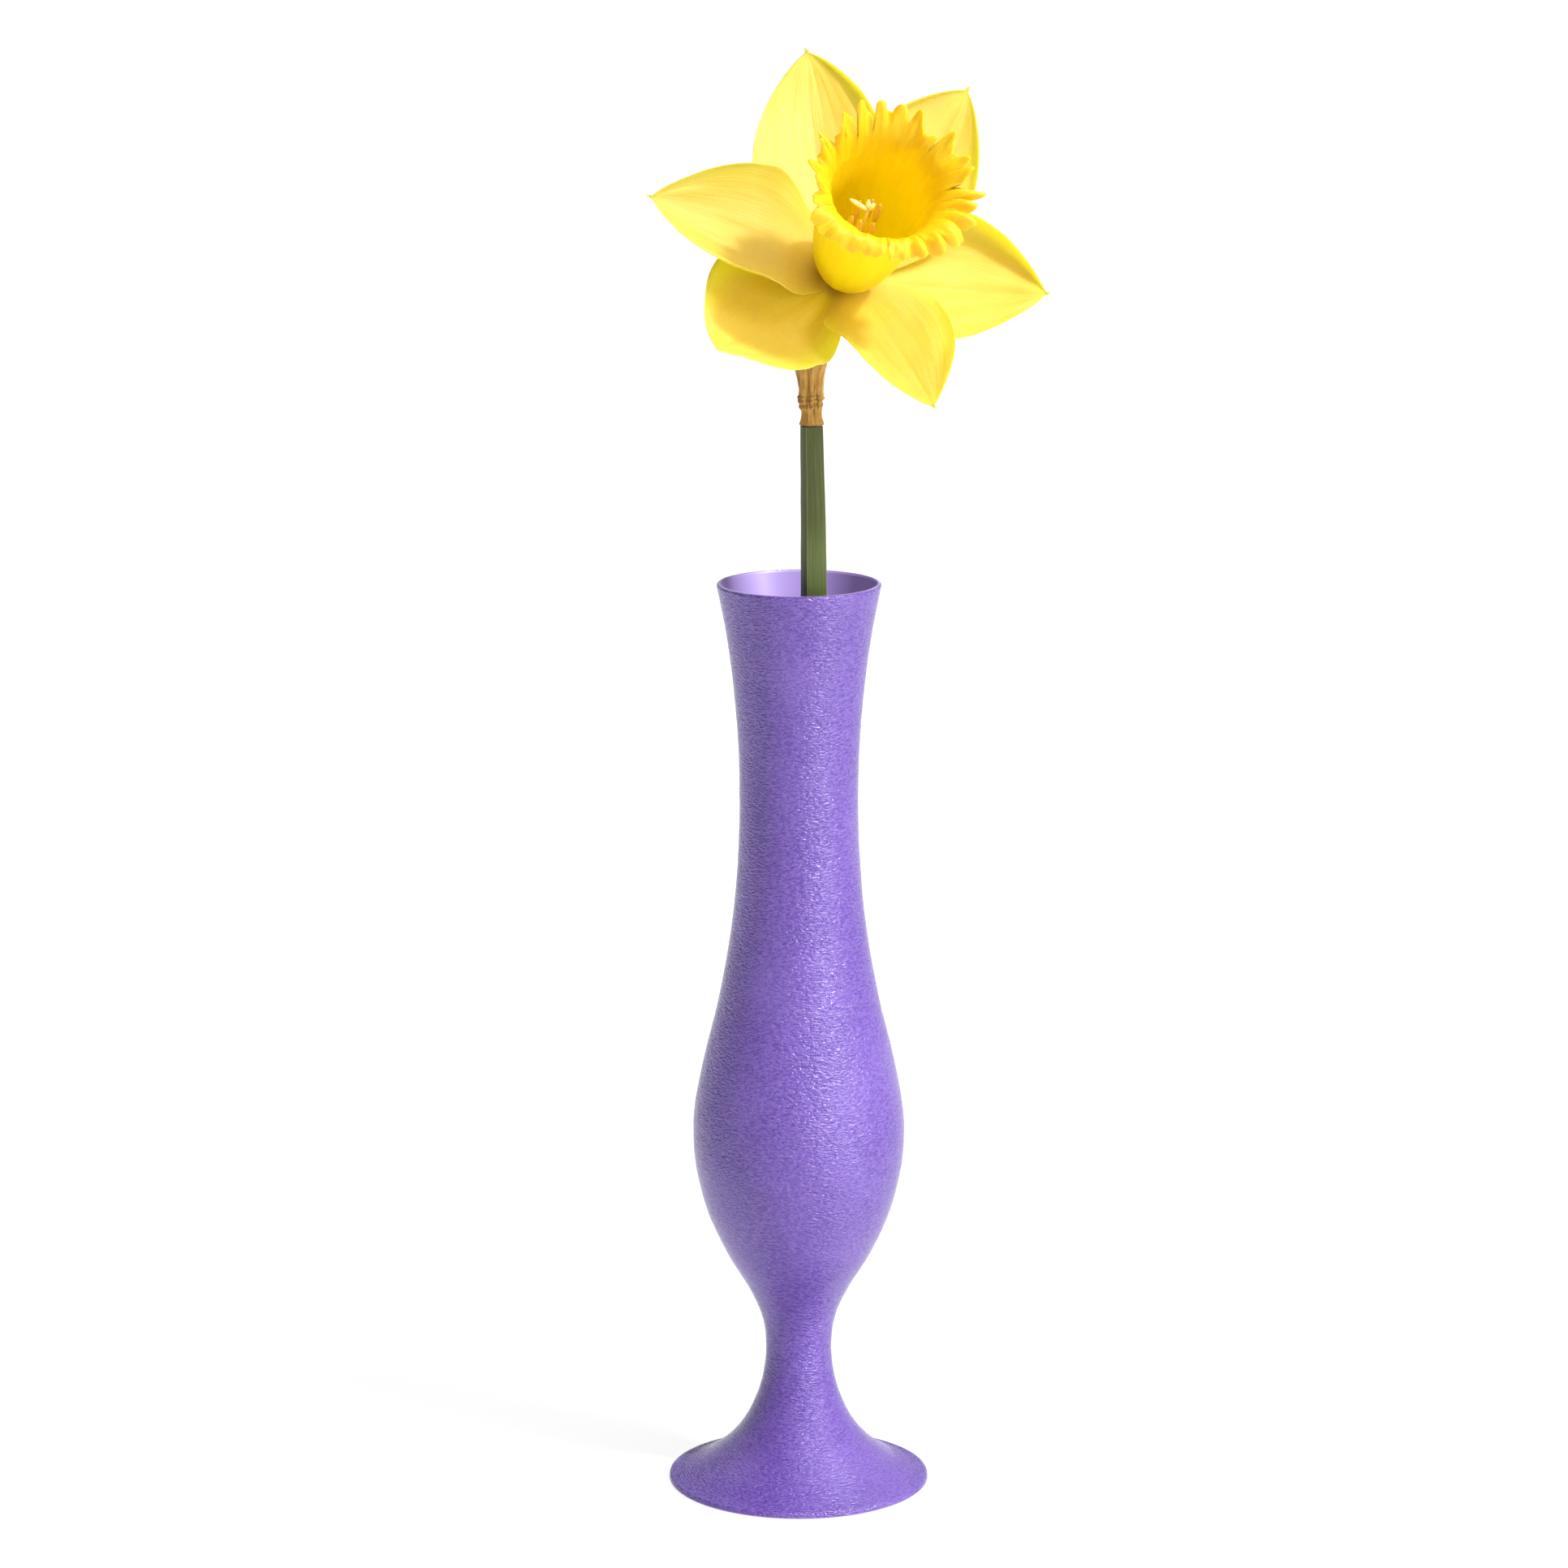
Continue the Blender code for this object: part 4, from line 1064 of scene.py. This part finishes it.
def petal_weight(u, v):
    """How much of the full thickness a petal has at u along it and v across it, 0 to 1."""
    thin = smooth_step((abs(v * 2 - 1) - 0.45) / 0.55) * smooth_step(u * 4)
    return (1 - thin) * (1 - smooth_step((u - 0.86) / 0.1))


def make_petals(flower):
    """Six petals, three behind and three in front, each with its own rolled margins."""
    material = petal_material(flower)
    columns = 2 * PETAL_HALF_COLUMNS
    for petal in PETALS:
        rows = petal_rows(petal, flower)

        def place(u, v):
            return FLOWER @ rows[round(u * PETAL_ROWS)][round(v * columns)]

        piece = lay_grid(petal.name + "_leaf", PETAL_ROWS, columns, place)
        thicken(piece, flower.petal_thickness, flower.margin, petal_weight)
        complete(piece, material, "tepal", petal.name, angle=60)


def petal_material(flower):
    look = Shading("lemon_petal")
    along = look.surface()[1]
    veins = look.strands(46, 2.2, 0.0)
    fine = look.strands(140, 7, 3.0)
    cells = look.cloudy(900.0, 2.0, 0.6)
    cloud = look.cloudy(85.0, 3.0)
    base = 1 - (along + cloud * 0.12).between(0.10, 0.50)
    colour = look.mix(base * 0.6, flower.petal, flower.petal_base)
    rich = (flower.petal[0] * 0.97, flower.petal[1] * 0.93, flower.petal[2] * 0.55)
    colour = look.mix(veins.between(0.5, 0.68) * 0.28, colour, rich)
    colour = look.mix(cloud.between(0.45, 0.75) * 0.5, colour, tint(flower.petal, 1.03, 0.04))
    colour = look.mix(along.between(0.978, 0.99), colour, (0.93, 0.78, 0.35))
    relief = (veins * 0.6 + fine * 0.25 + cells * 0.15, 0.00018)
    return look.finish(colour, 0.48 + fine * 0.16, relief, (1.0, (1.0, 1.0, 0.1), 0.003),
                       Specular_IOR_Level=0.7)


def lobe_at(column):
    """The lobe as it is at a column of the frill, and the phase there, -0.5 to 0.5."""
    i = column // LOBE_COLUMNS % len(LOBES)
    share = (column % LOBE_COLUMNS) / LOBE_COLUMNS
    this, following = LOBES[i], LOBES[(i + 1) % len(LOBES)]
    span = (following.angle - this.angle) % 360
    blend = smooth_step(share)
    here = [a + (b - a) * blend for a, b in zip(this, following)]
    owner = this if share <= 0.5 else following
    lobe = Lobe(this.angle + span * share, here[1], here[2], this.slit, this.sharp,
                owner.swell, owner.lean, owner.curl)
    return lobe, share if share <= 0.5 else share - 1


def flare_point(reach, out, t):
    """Distance out and radius on the frill's flare, a cubic from the trumpet to a lobe tip."""
    start = Vector(TRUMPET_PROFILE[-1])
    turn = Vector((FLARE_TURNS_AT, (FLARE_LEAVES_AT[1] + reach) / 2))
    return (start * (1 - t) ** 3 + Vector(FLARE_LEAVES_AT) * 3 * t * (1 - t) ** 2
            + turn * 3 * t ** 2 * (1 - t) + Vector((out, reach)) * t ** 3)


def trumpet_point(share, middle, ring_x, ring_y):
    """Distance along the axis and radius on the trumpet, in millimetres."""
    along, radius = curve_through(TRUMPET_PROFILE, share)
    radius += 0.16 * share ** 3 * (middle - 0.5)
    radius += 0.14 * share * ripple(ring_x * 3, ring_y * 3, share * 2)
    return along, radius


def frill_point(lobe, phase, share, middle, ring_x, ring_y):
    """Distance along the axis and radius on a lobe of the frill, in millimetres."""
    angle = radians(lobe.angle)
    skew = sin(2 * pi * phase)
    notch = lobe.slit * abs(2 * phase) ** lobe.sharp + 0.05 * lobe.swell * (2 * phase) ** 2
    tooth = 0.06 * ripple(angle * 9, 0.0, 2.0) + 0.035 * ripple(angle * 27, 0.0, 6.0)
    along, radius = flare_point(lobe.reach, lobe.out, share * (1 - notch + tooth * share))
    grow = share ** 1.2
    curled = (max(share - CURL_FROM, 0.0) / (1 - CURL_FROM)) ** 2
    ruffle = 1.1 * ripple(ring_x * 7, ring_y * 7, share * 2.2, 20)
    ruffle += 0.5 * ripple(ring_x * 13, ring_y * 13, share * 3.0, 33)
    along += (lobe.swell * (2 * middle - 1) + lobe.lean * skew) * grow + ruffle * grow
    along += lobe.curl * (0.4 + 0.6 * middle) * curled
    radius += (0.4 * lobe.swell * (2 * middle - 1) + 0.45 * skew * lobe.lean) * grow
    radius += 0.5 * ripple(ring_x * 9, ring_y * 9, 3.0, 71) * grow
    radius += 0.16 * (1 - share) * (middle - 0.5)
    radius += 0.7 * share * ripple(ring_x * 6, ring_y * 6, share * 2, 40)
    radius -= abs(lobe.curl) * 0.6 * middle * curled
    return along, radius


def corona_point(row, column):
    """Right, up and out on the corona's middle surface, rows counted from its base."""
    lobe, phase = lobe_at(column)
    angle = radians(lobe.angle)
    ring_x, ring_y = cos(angle), sin(angle)
    middle = 0.5 + 0.5 * cos(2 * pi * phase)
    if row <= TRUMPET_ROWS:
        along, radius = trumpet_point(row / TRUMPET_ROWS, middle, ring_x, ring_y)
    else:
        share = (row - TRUMPET_ROWS) / FRILL_ROWS
        along, radius = frill_point(lobe, phase, share, middle, ring_x, ring_y)
    bow = MOUTH_BOW * (along * MM / MOUTH_AT) ** 2
    return Vector((bow.x + radius * MM * ring_x, bow.y + radius * MM * ring_y, along * MM))


def make_corona(flower):
    """The trumpet and its frilled rim in one sheet."""
    rows = TRUMPET_ROWS + FRILL_ROWS
    columns = LOBE_COLUMNS * len(LOBES)

    def place(u, v):
        return FLOWER @ corona_point(round(u * rows), round(v * columns))

    def weight(u, v):
        return 1 - smooth_step((u * rows - TRUMPET_ROWS + 6) / 22)

    corona = lay_grid("frilled_corona", rows, columns, place)
    thicken(corona, flower.corona_thickness, FRILL_SHARE, weight)
    complete(corona, corona_material(flower), "corona", "corona", angle=60)


def corona_material(flower):
    look = Shading("golden_corona")
    along = look.surface()[1]
    veins = look.strands(190, 3.0, 0.0)
    cells = look.cloudy(800.0, 2.0, 0.6)
    cloud = look.cloudy(130.0, 3.0)
    colour = look.mix((along + cloud * 0.15).between(0.30, 0.72), flower.throat, flower.corona)
    # Painted light: the frill is painted paler towards its rim, as where light catches the lip
    pale = (min(flower.corona[0] * 1.04, 1), flower.corona[1] * 1.02, flower.corona[2] + 0.012)
    colour = look.mix(along.between(0.72, 0.97) * 0.7, colour, pale)
    colour = look.mix(veins.between(0.5, 0.7) * 0.35, colour, flower.throat)
    relief = (veins * 0.6 + cells * 0.4, 0.00022)
    return look.finish(colour, 0.40 + cells * 0.2, relief, (1.0, (1.0, 1.0, 0.05), 0.0022),
                       Specular_IOR_Level=0.35)


def capsule(name, start, end, width, segments=20, rings=16):
    """A rounded rod from start to end, in millimetres in the flower's own frame."""
    start, end = FLOWER @ (Vector(start) * MM), FLOWER @ (Vector(end) * MM)
    turn = (end - start).to_track_quat("Z", "Y").to_euler()
    rod = add_primitive(name, bpy.ops.mesh.primitive_uv_sphere_add, segments=segments,
                        ring_count=rings, radius=width * MM / 2, location=(start + end) / 2,
                        rotation=turn)
    rod.scale = (1, 1, (end - start).length / (width * MM))
    return rod


def join(pieces, name):
    """Join pieces into the first one, which takes the name."""
    bpy.ops.object.select_all(action="DESELECT")
    for piece in pieces:
        piece.select_set(True)
    bpy.context.view_layer.objects.active = pieces[0]
    bpy.ops.object.transform_apply(location=True, rotation=True, scale=True)
    bpy.ops.object.join()
    pieces[0].name = name
    pieces[0].data.name = name
    return pieces[0]


def groove_anther(anther, seed):
    """Press the grooves of its pollen sacs into an anther and roughen it."""
    front, back = ANTHER_GROOVES
    for vert in anther.data.vertices:
        half_turn = atan2(vert.co.y, vert.co.x) / 2
        wide = 1 - front * exp(-(sin(half_turn) / GROOVE_WIDTH) ** 2)
        wide -= back * exp(-(cos(half_turn) / GROOVE_WIDTH) ** 2)
        lumps = 1 + 0.05 * ripple(vert.co.x * 2500, vert.co.y * 2500, vert.co.z * 9000, seed)
        vert.co.x *= wide * lumps
        vert.co.y *= wide * lumps


def make_stamens(flower):
    """Six grooved anthers on filaments that stand on a ring round the style."""
    ring = [on_axis_plane(radius, along) for radius, along in STAMEN_RING]
    parts = [turn_section("stamen_ring", ring, 32, FLOWER_CENTRE, FLOWER_OUT, ring=True)]
    foot_radius, foot_along = FILAMENT_FOOT
    for i, tip in enumerate(ANTHER_TIPS):
        tip = Vector(tip)
        turn = atan2(tip.y, tip.x)
        foot = Vector((foot_radius * cos(turn), foot_radius * sin(turn), foot_along))
        way = (tip - foot).normalized()
        joint = tip - way * ANTHER_LENGTH
        parts.append(capsule(f"filament_{i}", foot, joint + way * FILAMENT_OVERLAP,
                             FILAMENT_WIDTH, 12, 24))
        parts.append(capsule(f"anther_{i}", joint, tip, ANTHER_WIDTH, 24, 20))
        groove_anther(parts[-1], i * 5)
    stamens = join(parts, "six_stamens")
    look = Shading("amber_anthers")
    pollen = look.cloudy(2600.0, 3.0, 0.7)
    colour = look.mix(pollen.between(0.45, 0.7), flower.anther, (0.95, 0.78, 0.30))
    colour = look.mix(flower_depth(look).between(0.0155, 0.0175), flower.style, colour)
    material = look.finish(colour, 0.75 - pollen * 0.2, (pollen, 0.0002))
    complete(stamens, material, "stamens", "stamens")


def make_pistil(flower):
    """The style and its three-lobed stigma."""
    parts = [capsule("style_rod", *STYLE_ENDS, STYLE_WIDTH, 20, 40)]
    for i, (start, end) in enumerate(STIGMA_LOBES):
        parts.append(capsule(f"stigma_{i}", start, end, STIGMA_WIDTH))
    pistil = join(parts, "pale_pistil")
    look = Shading("pale_style")
    dew = look.cloudy(1900.0, 2.0, 0.6)
    colour = look.mix(dew.between(0.4, 0.7), flower.style, tint(flower.style, 1.05, 0.04))
    material = look.finish(colour, 0.35 + dew * 0.3, (dew, 0.0001),
                           (0.4, (1.0, 0.8, 0.3), 0.001))
    complete(pistil, material, "pistil", "pistil")


def soft_light(name, panel, power):
    """A white panel of light, turned towards the vase."""
    place, width, height = panel
    bpy.ops.object.light_add(type="AREA", location=place)
    light = bpy.context.object
    light.name = name
    towards = Vector(place) - LIGHTS_FACE
    light.rotation_euler = towards.to_track_quat("Z", "Y").to_euler()
    light.data.shape = "RECTANGLE"
    light.data.size = width
    light.data.size_y = height
    light.data.energy = power


def make_studio(studio):
    """Pale floor, white surroundings, a key light, three soft panels and the camera."""
    scene = bpy.context.scene
    ground = add_primitive("studio_floor", bpy.ops.mesh.primitive_plane_add,
                           size=studio.floor_size)
    look = Shading("pale_floor")
    colour = look.mix(look.cloudy(3.0) * 0.05, studio.floor, (1.0, 1.0, 1.0))
    ground.data.materials.append(look.finish(
        colour, 0.9, Specular_IOR_Level=0.0, Emission_Color=(1.0, 1.0, 1.0),
        Emission_Strength=FLOOR_GLOW))

    world = bpy.data.worlds.new("white_surroundings")
    world.use_nodes = True
    background = world.node_tree.nodes["Background"]
    background.inputs["Color"].default_value = (1.0, 1.0, 1.0, 1.0)
    background.inputs["Strength"].default_value = studio.fill
    scene.world = world

    to_key = Vector((cos(studio.key_rise) * sin(studio.key_turn),
                     -cos(studio.key_rise) * cos(studio.key_turn), sin(studio.key_rise)))
    bpy.ops.object.light_add(type="SUN", location=to_key * 2)
    key = bpy.context.object
    key.name = "key_light"
    key.rotation_euler = to_key.to_track_quat("Z", "Y").to_euler()
    key.data.energy = studio.key
    key.data.angle = studio.key_size

    soft_light("soft_top_light", TOP_PANEL, studio.top)
    soft_light("strip_light", STRIP_PANEL, studio.strip)
    soft_light("back_light", BACK_PANEL, studio.back)

    bpy.ops.object.camera_add(location=CAMERA_AT, rotation=(CAMERA_PITCH, 0, 0))
    camera = bpy.context.object
    camera.name = "photo_camera"
    camera.data.sensor_width = SENSOR_WIDTH
    camera.data.lens = studio.lens
    camera.data.clip_end = 200
    scene.camera = camera
    scene.view_settings.view_transform = "Standard"


class DAFFODIL_OT_vase(bpy.types.Operator):
    """Make the footed vase with its wrinkled skin and smooth inside"""
    bl_idname = "daffodil.vase"
    bl_label = "Vase"

    def execute(self, context):
        make_vase(context.scene.bud_vase)
        return {"FINISHED"}


class DAFFODIL_OT_water(bpy.types.Operator):
    """Give the water in the vase its clear finish"""
    bl_idname = "daffodil.water"
    bl_label = "Water"

    def execute(self, context):
        make_water()
        return {"FINISHED"}


class DAFFODIL_OT_stem(bpy.types.Operator):
    """Make the green scape with its long ridges"""
    bl_idname = "daffodil.stem"
    bl_label = "Stem"

    def execute(self, context):
        make_stem(context.scene.bud_vase_stem)
        return {"FINISHED"}


class DAFFODIL_OT_spathe(bpy.types.Operator):
    """Make the papery spathe round the neck of the flower"""
    bl_idname = "daffodil.spathe"
    bl_label = "Spathe"

    def execute(self, context):
        make_spathe(context.scene.bud_vase_stem)
        return {"FINISHED"}


class DAFFODIL_OT_ovary(bpy.types.Operator):
    """Make the pedicel and the ovary"""
    bl_idname = "daffodil.ovary"
    bl_label = "Ovary"

    def execute(self, context):
        make_ovary(context.scene.bud_vase_stem)
        return {"FINISHED"}


class DAFFODIL_OT_floral_tube(bpy.types.Operator):
    """Make the tube that carries the petals and the trumpet"""
    bl_idname = "daffodil.floral_tube"
    bl_label = "Floral tube"

    def execute(self, context):
        make_floral_tube(context.scene.bud_vase_flower)
        return {"FINISHED"}


class DAFFODIL_OT_petals(bpy.types.Operator):
    """Make the six petals with their rolled margins"""
    bl_idname = "daffodil.petals"
    bl_label = "Petals"

    def execute(self, context):
        make_petals(context.scene.bud_vase_flower)
        return {"FINISHED"}


class DAFFODIL_OT_corona(bpy.types.Operator):
    """Make the trumpet with its frilled rim"""
    bl_idname = "daffodil.corona"
    bl_label = "Corona"

    def execute(self, context):
        make_corona(context.scene.bud_vase_flower)
        return {"FINISHED"}


class DAFFODIL_OT_stamens(bpy.types.Operator):
    """Make the six stamens in the throat"""
    bl_idname = "daffodil.stamens"
    bl_label = "Stamens"

    def execute(self, context):
        make_stamens(context.scene.bud_vase_flower)
        return {"FINISHED"}


class DAFFODIL_OT_pistil(bpy.types.Operator):
    """Make the style with its three-lobed stigma"""
    bl_idname = "daffodil.pistil"
    bl_label = "Pistil"

    def execute(self, context):
        make_pistil(context.scene.bud_vase_flower)
        return {"FINISHED"}


class DAFFODIL_OT_studio(bpy.types.Operator):
    """Make the floor, the light and the camera"""
    bl_idname = "daffodil.studio"
    bl_label = "Studio"

    def execute(self, context):
        make_studio(context.scene.bud_vase_studio)
        return {"FINISHED"}


OPERATORS = [
    DAFFODIL_OT_studio, DAFFODIL_OT_vase, DAFFODIL_OT_water, DAFFODIL_OT_stem,
    DAFFODIL_OT_spathe, DAFFODIL_OT_ovary, DAFFODIL_OT_floral_tube, DAFFODIL_OT_petals,
    DAFFODIL_OT_corona, DAFFODIL_OT_stamens, DAFFODIL_OT_pistil,
]


class DAFFODIL_PT_panel(bpy.types.Panel):
    """Lists the pieces and the settings that shape and colour them"""
    bl_idname = "DAFFODIL_PT_panel"
    bl_label = "Daffodil in a bud vase"
    bl_space_type = "VIEW_3D"
    bl_region_type = "UI"
    bl_category = "Daffodil"

    def draw(self, context):
        for operator in OPERATORS:
            self.layout.operator(operator.bl_idname)
        for name, group in SETTINGS.items():
            box = self.layout.box()
            settings = getattr(context.scene, name)
            for field in group.__annotations__:
                box.prop(settings, field)


def register():
    for made in (*SETTINGS.values(), *OPERATORS, DAFFODIL_PT_panel):
        bpy.utils.register_class(made)
    for name, group in SETTINGS.items():
        setattr(bpy.types.Scene, name, PointerProperty(type=group))


def unregister():
    for name in SETTINGS:
        delattr(bpy.types.Scene, name)
    for made in (DAFFODIL_PT_panel, *OPERATORS, *SETTINGS.values()):
        bpy.utils.unregister_class(made)


def main():
    register()
    bpy.ops.daffodil.studio()
    bpy.ops.daffodil.vase()
    bpy.ops.daffodil.water()
    bpy.ops.daffodil.stem()
    bpy.ops.daffodil.spathe()
    bpy.ops.daffodil.ovary()
    bpy.ops.daffodil.floral_tube()
    bpy.ops.daffodil.petals()
    bpy.ops.daffodil.corona()
    bpy.ops.daffodil.stamens()
    bpy.ops.daffodil.pistil()


if __name__ == "__main__":
    main()
